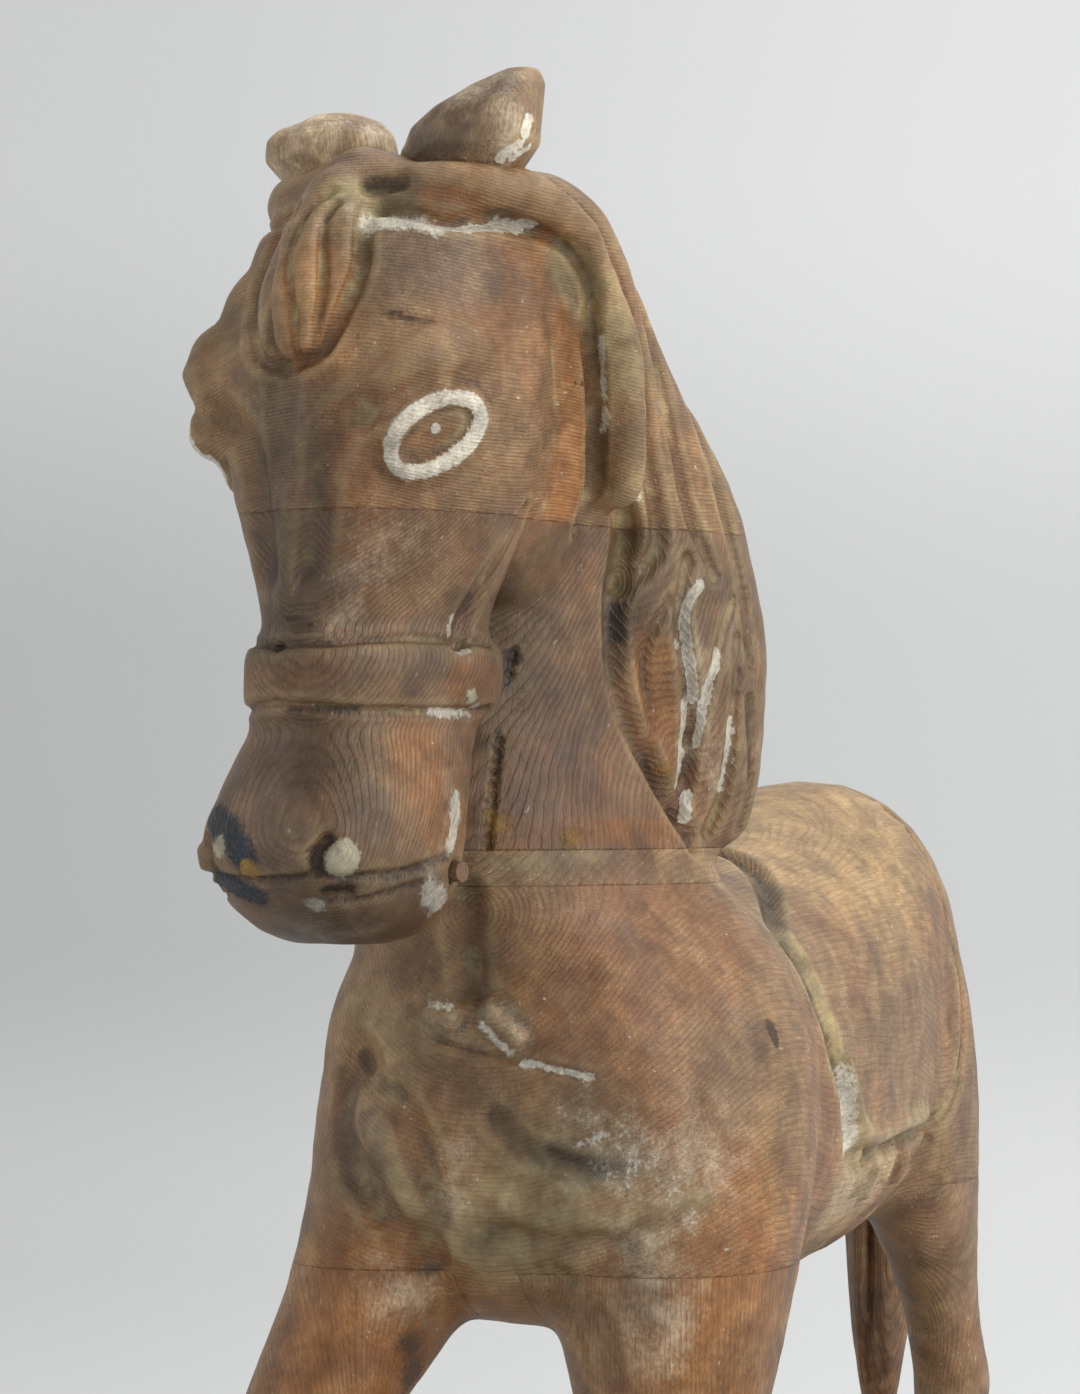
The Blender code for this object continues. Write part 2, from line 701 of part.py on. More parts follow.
# ---------------------------------------------------------------- board and running gear
def build_board(surface):
    """The board: a slab with rounded corners and an eased upper edge."""
    def fill(work):
        corners = []
        for x, y, first in (
            (1, BOARD_BACK_Y, 0), (-1, BOARD_BACK_Y, 90),
            (-1, BOARD_FRONT_Y, 180), (1, BOARD_FRONT_Y, 270),
        ):
            inward = -1 if y > 0 else 1
            middle = Vector((x * (BOARD_HALF_W - BOARD_CORNER_R), y + inward * BOARD_CORNER_R))
            for k in range(7):
                a = math.radians(first + 15 * k)
                corners.append(middle + BOARD_CORNER_R * Vector((math.cos(a), math.sin(a))))
        rows = []
        for z, inset in ((BOARD_UNDER_Z, 0), (DECK_Z - 0.003, 0), (DECK_Z, 0.003)):
            scale_x = (BOARD_HALF_W - inset) / BOARD_HALF_W
            half_y = (BOARD_BACK_Y - BOARD_FRONT_Y) / 2
            middle_y = (BOARD_BACK_Y + BOARD_FRONT_Y) / 2
            scale_y = (half_y - inset) / half_y
            rows.append([(c.x * scale_x, middle_y + (c.y - middle_y) * scale_y, z)
                         for c in corners])
        add_loft(work, rows)
    return finish(object_of("platform_board", mesh_of("platform_board", fill), toy), surface)


def build_bearer(name, y, board, wood, iron):
    """A bearer across the board's underside, screwed down from the deck."""
    low = (-BEARER_HALF_L, y - BEARER_HALF_T, BEARER_UNDER_Z)
    high = (BEARER_HALF_L, y + BEARER_HALF_T, BOARD_UNDER_Z - GAP)
    bearer = finish(object_of(name, box_mesh(name, low, high), toy), wood)
    for side, word in ((-1, "right"), (1, "left")):
        screw = f"{name}_screw_{word}"
        middle, up = Vector((side * SCREW_X, y, DECK_Z)), Vector((0, 0, 1))

        def profile(grow):
            face, shank = grow * 4 - SCREW_SUNK, SCREW_SHANK_R + grow
            return [
                (0, face), (SCREW_HEAD_R + grow, face), (SCREW_HEAD_R + grow, -0.0010),
                (shank, -0.0045 - grow), (shank, -SCREW_DEEP - grow), (0, -SCREW_DEEP - grow),
            ]
        made = object_of(screw, spun(screw, profile(0), middle, up, 14), toy)
        slot = cutter(screw + "_slot", box_mesh(
            screw + "_slot", middle - Vector((0.008, 0.0006, 0.0014)),
            middle + Vector((0.008, 0.0006, 0.0010))))
        cut(made, slot)
        finish(made, iron)
        hole = cutter(screw + "_hole", spun(screw + "_hole", profile(GAP), middle, up, 14))
        cut(board, hole)
        cut(bearer, hole)
    return bearer


def spun(name, profile, middle, axis, sides):
    """A solid turned about an axis: the profile runs from the axis back to the axis."""
    def fill(work):
        turned = axis.to_track_quat("Z", "Y").to_matrix()
        rings = [[
            middle + turned @ Vector((r * math.cos(a), r * math.sin(a), along))
            for a in (2 * math.pi * k / sides for k in range(sides))
        ] for r, along in profile[1:-1]]
        add_loft(work, rings)
    return mesh_of(name, fill)


def build_axle(name, y, bearer, iron):
    """A fixed iron axle, drilled near its ends for the linch pins."""
    start, end = Vector((-AXLE_HALF_L, y, AXLE_Z)), Vector((AXLE_HALF_L, y, AXLE_Z))
    axle = finish(object_of(name, rod_mesh(name, start, end, AXLE_R), toy), iron)
    hole = cutter(name + "_hole", rod_mesh(
        name + "_hole", start - Vector((AXLE_PLAY, 0, 0)), end + Vector((AXLE_PLAY, 0, 0)),
        AXLE_R + GAP))
    cut(bearer, hole)
    return axle


def build_wheel(corner, side, y, axle, wood, iron):
    """A turned wheel on the axle's end, with its washer and linch pin."""
    out = Vector((side, 0, 0))
    hub = BEARER_HALF_L + HUB_GAP + HUB_HALF_L
    half, bore = WHEEL_W / 2, AXLE_R + WHEEL_FIT
    profile = [
        (bore, -HUB_HALF_L), (0.0125, -HUB_HALF_L), (0.0145, -half + 0.0025),
        (0.0330, -half + 0.0025), (0.0350, -half), (WHEEL_R - 0.002, -half),
        (WHEEL_R, -half + 0.002), (WHEEL_R, half - 0.002), (WHEEL_R - 0.002, half),
        (0.0350, half), (0.0330, half - 0.0025), (0.0145, half - 0.0025),
        (0.0125, HUB_HALF_L), (bore, HUB_HALF_L),
    ]
    name = "wheel_" + corner
    finish(object_of(name, lathe_mesh(
        name, profile, Vector((side * hub, y, AXLE_Z)), out, 24), toy), wood, 30)
    washer = hub + HUB_HALF_L + HUB_GAP
    name = "washer_" + corner
    hole = AXLE_R + GAP
    ring = [(hole, 0), (WASHER_R, 0), (WASHER_R, WASHER_T), (hole, WASHER_T)]
    finish(object_of(name, lathe_mesh(
        name, ring, Vector((side * washer, y, AXLE_Z)), out, 14), toy), iron)
    pin = Vector((side * (washer + WASHER_T + PIN_GAP + PIN_R), y, AXLE_Z))
    reach = Vector((0, 0, PIN_L / 2))
    name = "linch_pin_" + corner
    finish(object_of(name, rod_mesh(name, pin - reach, pin + reach, PIN_R, 10), toy), iron)
    cut(axle, cutter(name + "_hole", rod_mesh(
        name + "_hole", pin - reach, pin + reach, PIN_R + GAP, 10)))


def build_pull(board, iron):
    """A screw eye in the board's front end and a loose ring hanging in it."""
    eye_y = BOARD_FRONT_Y - 0.004 - EYE_R - WIRE_R
    middle, across = Vector((0, eye_y, EYE_Z)), Vector((1, 0, 0))
    eye = object_of("pull_eye", lathe_mesh(
        "pull_eye", wire_ring_profile(EYE_R), middle, across, 16), toy)
    start = Vector((0, eye_y + EYE_R, EYE_Z))
    end = Vector((0, BOARD_FRONT_Y + 0.018, EYE_Z))
    shank = cutter("pull_eye_shank", rod_mesh("pull_eye_shank", start, end, SHANK_R, 12))
    cut(eye, shank, "UNION")
    finish(eye, iron)
    cut(board, cutter("pull_eye_hole", rod_mesh(
        "pull_eye_hole", start, end + Vector((0, GAP, 0)), SHANK_R + GAP, 12)))
    hinge = EYE_Z - EYE_R + 2 * WIRE_R + GAP
    finish(object_of("pull_ring", lathe_mesh(
        "pull_ring", wire_ring_profile(RING_R), Vector((0, eye_y, hinge - RING_R)),
        Vector((0, 1, 0)), 24), toy), iron)


# ---------------------------------------------------------------- scene
for old in list(bpy.data.objects):
    bpy.data.objects.remove(old)
toy = new_collection("pull_along_horse")
cutters = new_collection("cutters")

pine = material("pine", (0.36, 0.25, 0.17), 0.72)
pine_worn = material("pine_worn", (0.33, 0.20, 0.12), 0.75)
beech = material("beech", (0.42, 0.29, 0.18), 0.65)
board_wood = material("board_wood", (0.30, 0.20, 0.13), 0.75)
iron = material("iron", (0.10, 0.085, 0.075), 0.5, 1.0)

form = carved_form()
blocks = build_blocks(form, pine, pine_worn)
build_ear("ear_left", EAR_SOUND, 1, blocks["head_top_block"], pine)
build_ear("ear_right", EAR_WORN, -1, blocks["head_top_block"], pine)
build_tail(blocks["body_block"], pine)
platform = build_board(board_wood)
build_dowels(blocks, platform, beech)
for end, axle_y in (
    ("front", BOARD_FRONT_Y + AXLE_INSET), ("rear", BOARD_BACK_Y - AXLE_INSET),
):
    bearer_made = build_bearer("axle_bearer_" + end, axle_y, platform, board_wood, iron)
    axle_made = build_axle("axle_" + end, axle_y, bearer_made, iron)
    for hand, word in ((1, "left"), (-1, "right")):
        build_wheel(f"{end}_{word}", hand, axle_y, axle_made, board_wood, iron)
build_pull(platform, iron)
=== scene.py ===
"""Looks of a carved pine horse on a wheeled board: stripped, limed wood with the last of its paint,
and painted shade.

The horse's blocks are fused into one fine form, carved there, and parted again along the
same glue lines, so that every strand and crease runs on across them.

Points are (left, ahead, up) in metres, in the frame of the turned head or of the body.
"""

import math

import bmesh
import bpy
import numpy as np
from mathutils import Matrix, Vector, noise
from mathutils.bvhtree import BVHTree
from mathutils.kdtree import KDTree


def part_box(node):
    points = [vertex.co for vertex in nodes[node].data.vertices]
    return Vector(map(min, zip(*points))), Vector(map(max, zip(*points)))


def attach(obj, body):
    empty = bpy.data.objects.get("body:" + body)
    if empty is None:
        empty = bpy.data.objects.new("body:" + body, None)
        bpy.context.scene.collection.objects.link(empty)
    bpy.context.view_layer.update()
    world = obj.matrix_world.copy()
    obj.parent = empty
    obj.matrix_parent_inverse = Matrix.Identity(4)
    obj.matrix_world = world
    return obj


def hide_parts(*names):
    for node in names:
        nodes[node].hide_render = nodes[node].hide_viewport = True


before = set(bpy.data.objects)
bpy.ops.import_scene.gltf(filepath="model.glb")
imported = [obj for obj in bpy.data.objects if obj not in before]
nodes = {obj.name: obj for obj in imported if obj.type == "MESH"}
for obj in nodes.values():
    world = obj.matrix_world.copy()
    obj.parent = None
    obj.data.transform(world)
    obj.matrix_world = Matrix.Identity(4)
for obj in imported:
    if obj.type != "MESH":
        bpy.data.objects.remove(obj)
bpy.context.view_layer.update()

BODY = "toy"
BLOCKS = (
    "head_top_block", "head_neck_block", "neck_board", "body_block",
    "foreleg_left", "foreleg_right", "hindleg_left", "hindleg_right",
)
LEGS = BLOCKS[4:]
SIDES = (1, -1)
UP = Vector((0, 0, 1))
FINE = 0.00125  # grain of the carved form's mesh
FINE_ROUNDS = 45 if FINE < 0.002 else 16

# ---------------------------------------------------------------- the CAD's frames
CHEST_Y = -0.075
HEAD_TURN = math.radians(-11.0)
CROWN_SEAM_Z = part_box("head_top_block")[0].z
NECK_SEAM_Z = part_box("neck_board")[1].z
SHOULDER_SEAM_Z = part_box("neck_board")[0].z
DECK_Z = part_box("platform_board")[1].z
WITHERS_F = -0.046
MANE_BACK_F = -0.08
SLOT_W = 0.003
SLOT_TOP_Z = 0.5755
SLOT_F = 0.1005
SLOT_LEAN = 0.293
LEG_INNER_L = 0.012
FORELEG_BACK_F = -0.034  # the legs' blocks reach the belly between these
HINDLEG_FRONT_F = -0.17


def head_point(left, ahead, up):
    """A point in the turned frame of the head: left, ahead of the chest's middle, up."""
    sine, cosine = math.sin(HEAD_TURN), math.cos(HEAD_TURN)
    return Vector((left * cosine + ahead * sine, CHEST_Y - ahead * cosine + left * sine, up))


def body_point(left, ahead, up):
    return Vector((left, CHEST_Y - ahead, up))


def in_head(co):
    """Columns left, ahead, up of an array of points, in the head's frame."""
    sine, cosine = math.sin(HEAD_TURN), math.cos(HEAD_TURN)
    x, y = co[:, 0], co[:, 1] - CHEST_Y
    return np.stack([x * cosine + y * sine, x * sine - y * cosine, co[:, 2]], 1)


def sided(points, side):
    """The points on the left (side 1) or mirrored to the right (side -1)."""
    return [(left * side, ahead, up) for left, ahead, up in points]


# ---------------------------------------------------------------- mesh tools
def points_of(mesh):
    co = np.empty(len(mesh.vertices) * 3, np.float32)
    mesh.vertices.foreach_get("co", co)
    return co.reshape(-1, 3).astype(float)


def set_points(mesh, co):
    mesh.vertices.foreach_set("co", co.astype(np.float32).ravel())
    mesh.update()


def normals_of(mesh):
    out = np.empty(len(mesh.vertices) * 3, np.float32)
    mesh.vertex_normals.foreach_get("vector", out)
    return out.reshape(-1, 3).astype(float)


def edges_of(mesh):
    out = np.empty(len(mesh.edges) * 2, np.int32)
    mesh.edges.foreach_get("vertices", out)
    return out.reshape(-1, 2)


def averaged(values, edges, rounds):
    """Values evened out over the mesh by swapping with neighbours."""
    total_of = len(values)
    count = np.maximum(np.bincount(edges.ravel(), minlength=total_of).astype(float), 1)
    columns = values.reshape(total_of, -1).T.copy()
    one, other = edges[:, 0], edges[:, 1]
    for _ in range(rounds):
        for k, column in enumerate(columns):
            total = (np.bincount(one, column[other], total_of)
                     + np.bincount(other, column[one], total_of))
            columns[k] = 0.5 * column + 0.5 * total / count
    return columns.T.reshape(values.shape)


def curved(before, a, b, after, t):
    """A point between a and b on the smooth curve through all four."""
    slow, fast = (b - before) / 2, (after - a) / 2
    return (a * (2 * t**3 - 3 * t**2 + 1) + slow * (t**3 - 2 * t**2 + t)
            + b * (3 * t**2 - 2 * t**3) + fast * (t**3 - t**2))


def step(value, low, high):
    t = np.clip((value - low) / (high - low), 0, 1)
    return t * t * (3 - 2 * t)


def link(name, mesh):
    made = bpy.data.objects.new(name, mesh)
    bpy.context.scene.collection.objects.link(made)
    return made


def built(name, work):
    """A linked object made of a bmesh."""
    mesh = bpy.data.meshes.new(name)
    work.to_mesh(mesh)
    work.free()
    return link(name, mesh)


def joined_rings(work, rings):
    """Faces between each ring of vertices and the next, in the order given."""
    for a, b in zip(rings, rings[1:]):
        for k in range(len(a)):
            n = (k + 1) % len(a)
            work.faces.new((a[k], a[n], b[n], b[k]))


def applied(obj):
    """obj with its modifiers applied."""
    graph = bpy.context.evaluated_depsgraph_get()
    mesh = bpy.data.meshes.new_from_object(obj.evaluated_get(graph))
    obj.modifiers.clear()
    obj.data = mesh
    return obj


def copies_joined(name, node_names):
    """One mesh of the named CAD nodes."""
    work = bmesh.new()
    for node in node_names:
        work.from_mesh(nodes[node].data)
    bmesh.ops.remove_doubles(work, verts=work.verts, dist=1e-6)
    return built(name, work)


def refined(obj, grain, rounds):
    """The object's skin in an even fine mesh, its facets smoothed away."""
    fuse = obj.modifiers.new("fuse", "REMESH")
    fuse.mode = "VOXEL"
    fuse.voxel_size = grain
    applied(obj)
    ease = obj.modifiers.new("ease", "SMOOTH")
    ease.factor = 0.5
    ease.iterations = rounds
    applied(obj)
    return largest_shell(obj)


def largest_shell(obj):
    """Drops every separate shell of the mesh but the largest."""
    edges = edges_of(obj.data)
    label = np.arange(len(obj.data.vertices))
    while True:
        low = np.minimum(label[edges[:, 0]], label[edges[:, 1]])
        fresh = label.copy()
        np.minimum.at(fresh, edges[:, 0], low)
        np.minimum.at(fresh, edges[:, 1], low)
        fresh = fresh[fresh]
        if (fresh == label).all():
            break
        label = fresh
    keep = np.bincount(label).argmax()
    if (label == keep).all():
        return obj
    work = bmesh.new()
    work.from_mesh(obj.data)
    work.verts.ensure_lookup_table()
    bmesh.ops.delete(work, geom=[work.verts[int(i)] for i in np.nonzero(label != keep)[0]])
    work.to_mesh(obj.data)
    work.free()
    return obj


# ---------------------------------------------------------------- carving
class Carver:
    """Cuts and raises strokes on a fine mesh. Strokes are drawn as points near its skin."""

    def __init__(self, obj):
        self.mesh = obj.data
        self.begin()

    def begin(self):
        self.co = points_of(self.mesh)
        self.normal = normals_of(self.mesh)
        self.lift = np.zeros(len(self.co))
        faces = [tuple(p.vertices) for p in self.mesh.polygons]
        self.tree = BVHTree.FromPolygons([tuple(p) for p in self.co], faces)

    def draped(self, place, points, pitch=0.0015):
        """The stroke's points, close together and laid on the skin."""
        corners = [place(*p) for p in points]
        ends = [corners[0], *corners, corners[-1]]
        out = []
        for before, a, b, after in zip(ends, ends[1:], ends[2:], ends[3:]):
            count = max(1, int((b - a).length / pitch))
            for k in range(count + 1):
                out.append(self.tree.find_nearest(curved(before, a, b, after, k / count))[0])
        return np.array(out)

    def near(self, samples, reach):
        """Indices of the vertices within reach of a stroke, and how far they are from it."""
        low, high = samples.min(0) - reach, samples.max(0) + reach
        found = np.nonzero(((self.co > low) & (self.co < high)).all(1))[0]
        best = np.full(len(found), 1e9)
        for sample in samples:
            delta = self.co[found] - sample
            best = np.minimum(best, np.einsum("ij,ij->i", delta, delta))
        best = np.sqrt(best)
        inside = best < reach
        return found[inside], best[inside]

    def stroke(self, place, points, width, depth, flat=0.0):
        """A groove (depth above 0) or ridge (below 0) with round or flat middle."""
        found, away = self.near(self.draped(place, points), width)
        share = np.clip((away / width - flat) / (1 - flat), 0, 1)
        self.lift[found] -= depth * (1 - share * share) ** 2

    def strokes(self, place, table, sides=(1,)):
        """Every stroke of a table of points, width, depth and, in some rows, flat."""
        for side in sides:
            for points, *form in table:
                self.stroke(place, sided(points, side), *form)

    def settle(self):
        set_points(self.mesh, self.co + self.normal * self.lift[:, None])
        self.begin()


# ---------------------------------------------------------------- the carved form
SKIN = 0.0003  # the blocks are swollen by this to close their glue lines, then drawn back


def shifted(obj, distance):
    set_points(obj.data, points_of(obj.data) + normals_of(obj.data) * distance)


# where the cheek runs back to the hair: up, how far out it stands, ahead from and to
CHEEK_BACK = ((0.688, 0.048, 0.08, 0.09), (0.675, 0.048, 0.07, 0.088), (0.66, 0.047, 0.062, 0.086),
    (0.645, 0.0455, 0.06, 0.088), (0.63, 0.043, 0.058, 0.086), (0.618, 0.04, 0.06, 0.084),
    (0.606, 0.0355, 0.062, 0.08), (0.596, 0.03, 0.064, 0.076))
PAD_R = 0.012
# the roll of hair that passes in front of the ears: left, ahead, up, radius
HAIR_ROLL = ((0.024, 0.1255, 0.719, 0.0085), (0.032, 0.1185, 0.7195, 0.009),
    (0.039, 0.111, 0.719, 0.009), (0.043, 0.101, 0.7175, 0.009), (0.0445, 0.09, 0.715, 0.0085),
    (0.0465, 0.079, 0.71, 0.008), (0.0485, 0.07, 0.702, 0.0075), (0.0495, 0.063, 0.692, 0.007))
ROLL_STEPS, CHEEK_ROWS, CHEEK_COLUMNS = 6, 4, 5


def between_rows(table, steps):
    """The rows of a table and the even steps from each to the next."""
    for here, after in zip(table, table[1:]):
        for k in range(steps):
            yield [p + (q - p) * k / steps for p, q in zip(here, after)]


def ball(work, left, ahead, up, radius):
    """The same ball of wood on both sides of the head."""
    for side in (-1, 1):
        bmesh.ops.create_icosphere(work, subdivisions=2, radius=radius,
                                   matrix=Matrix.Translation(head_point(side * left, ahead, up)))


def add_rounds(work):
    """Adds rounds that carry the cheek's face back to the hair and fill the hair's roll."""
    for left, ahead, up, radius in between_rows(HAIR_ROLL, ROLL_STEPS):
        ball(work, left, ahead, up, radius)
    for up, out, back, front in between_rows(CHEEK_BACK, CHEEK_ROWS):
        for k in range(CHEEK_COLUMNS):
            ball(work, out - PAD_R, back + (front - back) * k / (CHEEK_COLUMNS - 1), up, PAD_R)


def fused_form():
    form = copies_joined("form", [n for n in nodes if n in BLOCKS or n.endswith("dowel")
                                  or n.startswith("neck_dowel")])
    shifted(form, SKIN)
    work = bmesh.new()
    work.from_mesh(form.data)
    add_rounds(work)
    work.to_mesh(form.data)
    work.free()
    refined(form, FINE, FINE_ROUNDS)
    shifted(form, -SKIN)
    return form


# each stroke is its points, its width and its depth, which is below 0 where it raises the wood
# grooves that part the forelock's locks, and the locks' raised backs
FORELOCK_EDGES = (
    ([(0.004, 0.146, 0.716), (-0.001, 0.158, 0.703), (-0.002, 0.163, 0.693), (0.0045, 0.167, 0.678),
     (0.005, 0.166, 0.66)], 0.0032, 0.0021),
    ([(0.0085, 0.15, 0.713), (0.0074, 0.156, 0.706), (0.011, 0.1605, 0.6875), (0.011, 0.163, 0.674),
     (0.009, 0.165, 0.662)], 0.003, 0.0022),
    ([(0.018, 0.14, 0.7145), (0.0165, 0.146, 0.709), (0.019, 0.151, 0.692), (0.0174, 0.158, 0.6785),
     (0.013, 0.164, 0.665), (0.007, 0.1665, 0.6625)], 0.0046, 0.0034),
    ([(-0.007, 0.15, 0.714), (-0.011, 0.157, 0.7), (-0.0105, 0.163, 0.682), (-0.004, 0.167, 0.663)],
     0.0034, 0.002),
    ([(-0.017, 0.142, 0.712), (-0.0235, 0.148, 0.697), (-0.0215, 0.155, 0.679),
     (-0.012, 0.164, 0.664), (0.0, 0.167, 0.66)], 0.0044, 0.003),
)
FORELOCK_BODIES = (
    ([(0.003, 0.152, 0.71), (0.0045, 0.16, 0.695), (0.008, 0.164, 0.68), (0.0075, 0.166, 0.665)],
     0.0062, -0.0016),
    ([(0.0125, 0.149, 0.71), (0.015, 0.156, 0.69), (0.014, 0.161, 0.677), (0.0105, 0.165, 0.665)],
     0.006, -0.0017),
    ([(-0.004, 0.156, 0.705), (-0.006, 0.163, 0.688), (-0.001, 0.167, 0.67)], 0.0062, -0.0014),
    ([(-0.014, 0.15, 0.706), (-0.017, 0.157, 0.688), (-0.01, 0.164, 0.67)], 0.0066, -0.0015),
)
# strands of the mane, at its sides and down its back
MANE_LINES = (
    ([(0.015, 0.062, 0.73), (0.0271, 0.0424, 0.7256), (0.0343, 0.0319, 0.7092),
     (0.0388, 0.0252, 0.6891), (0.043, 0.025, 0.6656), (0.045, 0.023, 0.6419),
     (0.0455, 0.0181, 0.6108), (0.04, 0.028, 0.596)], 0.006, 0.0036),
    ([(0.033, 0.012, 0.706), (0.0373, 0.0149, 0.6902), (0.043, 0.012, 0.6656),
     (0.045, 0.008, 0.6419), (0.0483, 0.0037, 0.6217), (0.053, -0.007, 0.6)], 0.0046, 0.0024),
    ([(0.03, -0.006, 0.704), (0.038, -0.004, 0.68), (0.044, -0.01, 0.655), (0.05, -0.016, 0.63),
     (0.054, -0.023, 0.6), (0.056, -0.026, 0.57)], 0.0046, 0.0024),
    ([(0.024, -0.026, 0.694), (0.032, -0.026, 0.668), (0.038, -0.034, 0.64), (0.043, -0.042, 0.605),
     (0.045, -0.048, 0.57), (0.042, -0.05, 0.535)], 0.0046, 0.0022),
    ([(0.056, 0.044, 0.666), (0.0545, 0.0409, 0.6462), (0.047, 0.033, 0.628), (0.044, 0.029, 0.617),
     (0.0379, 0.0283, 0.5936)], 0.004, 0.0022),
    ([(0.047, 0.0131, 0.5905), (0.0402, 0.0195, 0.5734), (0.0404, 0.0166, 0.5496),
     (0.0443, 0.0133, 0.5257), (0.047, 0.005, 0.512)], 0.0036, 0.0014),
    ([(0.0495, 0.0056, 0.6044), (0.0484, 0.0089, 0.5838), (0.0487, 0.0044, 0.56),
     (0.0461, 0.0016, 0.536), (0.0464, 0.0046, 0.5154)], 0.005, 0.0034),
    ([(0.0532, -0.0174, 0.5915), (0.0531, -0.0078, 0.5739), (0.0512, -0.0013, 0.5566),
     (0.047, 0.001, 0.542)], 0.004, 0.0022),
    ([(0.0543, -0.0189, 0.5777), (0.0546, -0.015, 0.5499), (0.0524, -0.0121, 0.5257),
     (0.05, -0.008, 0.511)], 0.0044, 0.0024),
    ([(0.0553, -0.0237, 0.557), (0.056, -0.026, 0.534), (0.053, -0.024, 0.512)], 0.0044, 0.002),
)
MANE_BACK_LINES = (
    ([(0.014, -0.042, 0.695), (0.018, -0.056, 0.655), (0.02, -0.064, 0.605), (0.018, -0.064, 0.55),
     (0.02, -0.06, 0.515)], 0.005, 0.0024),
    ([(0.004, -0.04, 0.7), (0.005, -0.06, 0.66), (0.001, -0.07, 0.61), (0.003, -0.07, 0.56),
     (0.0, -0.065, 0.52)], 0.0046, 0.0022),
    ([(0.01, -0.066, 0.63), (0.011, -0.07, 0.59), (0.008, -0.07, 0.545)], 0.004, 0.0018),
)
# where the roll of hair round the temple meets the face, its back, and its crest before the ears
ROLL_EDGE = [(0.0205, 0.141, 0.7125), (0.0295, 0.137, 0.711), (0.036, 0.13, 0.708),
    (0.041, 0.12, 0.7085), (0.0435, 0.108, 0.7105), (0.048, 0.089, 0.7075), (0.052, 0.077, 0.7),
    (0.053, 0.07, 0.69), (0.0505, 0.0665, 0.676), (0.0475, 0.06, 0.657), (0.045, 0.056, 0.642),
    (0.043, 0.053, 0.628), (0.041, 0.052, 0.612)]
ROLL_BACK = [(0.044, 0.1, 0.719), (0.05, 0.084, 0.713), (0.055, 0.068, 0.701),
    (0.0565, 0.056, 0.685), (0.0565, 0.049, 0.667), (0.0545, 0.045, 0.648), (0.05, 0.042, 0.628)]
ROLL_TOP = [(0.005, 0.126, 0.728), (0.017, 0.13, 0.725), (0.027, 0.128, 0.724),
    (0.037, 0.12, 0.722), (0.045, 0.107, 0.7195), (0.051, 0.092, 0.715), (0.055, 0.078, 0.707)]
# the long hollow between the neck and the hair
MANE_EDGE = [(0.044, 0.033, 0.624), (0.04, 0.03, 0.608), (0.0365, 0.032, 0.59),
    (0.0365, 0.032, 0.577), (0.038, 0.031, 0.563), (0.04, 0.026, 0.548), (0.042, 0.018, 0.534),
    (0.045, 0.009, 0.52), (0.048, 0.001, 0.509)]
NOSE_ARRIS = [(0.0085, 0.1666, 0.655), (0.008, 0.1666, 0.649), (0.0076, 0.1666, 0.636),
    (0.0068, 0.1666, 0.624), (0.0045, 0.1667, 0.611), (0.0029, 0.1667, 0.5985),
    (0.002, 0.1665, 0.586), (0.0024, 0.169, 0.574)]
TEAR_VALLEY = [(0.047, 0.158, 0.652), (0.041, 0.164, 0.648), (0.029, 0.1625, 0.645),
    (0.019, 0.164, 0.639), (0.013, 0.1655, 0.627), (0.01, 0.166, 0.612), (0.008, 0.166, 0.596)]
CHEEK_LINE = [(0.049, 0.088, 0.69), (0.049, 0.084, 0.672), (0.048, 0.08, 0.655),
    (0.047, 0.078, 0.64), (0.044, 0.078, 0.618)]
JAW_LINE = [(0.043, 0.094, 0.616), (0.04, 0.103, 0.602), (0.0359, 0.1101, 0.589),
    (0.0355, 0.115, 0.58), (0.0351, 0.1188, 0.574)]
MOUTH = [(0.0, 0.1765, 0.499), (0.012, 0.1765, 0.499), (0.022, 0.175, 0.499),
    (0.031, 0.1615, 0.499), (0.034, 0.1515, 0.499), (0.0355, 0.14, 0.5015), (0.036, 0.126, 0.5045)]
UNDER_LIP = [(0.016, 0.172, 0.4905), (0.028, 0.161, 0.492), (0.033, 0.15, 0.494),
    (0.035, 0.138, 0.496)]
NOSTRIL = (0.028, 0.172, 0.504)
NOSTRIL_HOLLOW = [(0.021, 0.1765, 0.501), (0.0215, 0.176, 0.506), (0.024, 0.175, 0.51)]
LIP_HOLLOW = [(0.0225, 0.171, 0.4915), (0.0275, 0.168, 0.4905)]
POLL_HOLLOW = [(0.014, 0.14, 0.72), (0.022, 0.133, 0.72)]
FAR_BROW = [(-0.044, 0.154, 0.681), (-0.0425, 0.149, 0.687)]
BROW_CRACK = [(0.033, 0.156, 0.6765), (0.045, 0.15, 0.679)]
BAND_HIGH, BAND_LOW = 0.574, 0.5512  # the noseband's edges
BAND_MIDDLE = (BAND_HIGH + BAND_LOW) / 2
# left, ahead
BAND_COURSE = ((0.0, 0.174), (0.01, 0.17), (0.018, 0.162), (0.024, 0.15), (0.029, 0.135),
    (0.034, 0.118), (0.036, 0.104))
SLOT_DRILLINGS = 19  # the slot was opened by a row of small holes
SLOT_SIDE = 0.03


def band_line(up):
    """A line round the nose at the noseband."""
    return [(left, ahead, up) for left, ahead in BAND_COURSE]


def slot_point(share):
    """A point on the neck beside the slot, from its top (0) to the neck seam (1)."""
    up = SLOT_TOP_Z - 0.003 + share * (NECK_SEAM_Z - SLOT_TOP_Z + 0.006)
    return (SLOT_SIDE, SLOT_F + (NECK_SEAM_Z - up) * SLOT_LEAN - 0.004, up)


def drilling(number):
    """A stroke of no length at one of the slot's holes."""
    return [slot_point(number / (SLOT_DRILLINGS - 1))] * 2


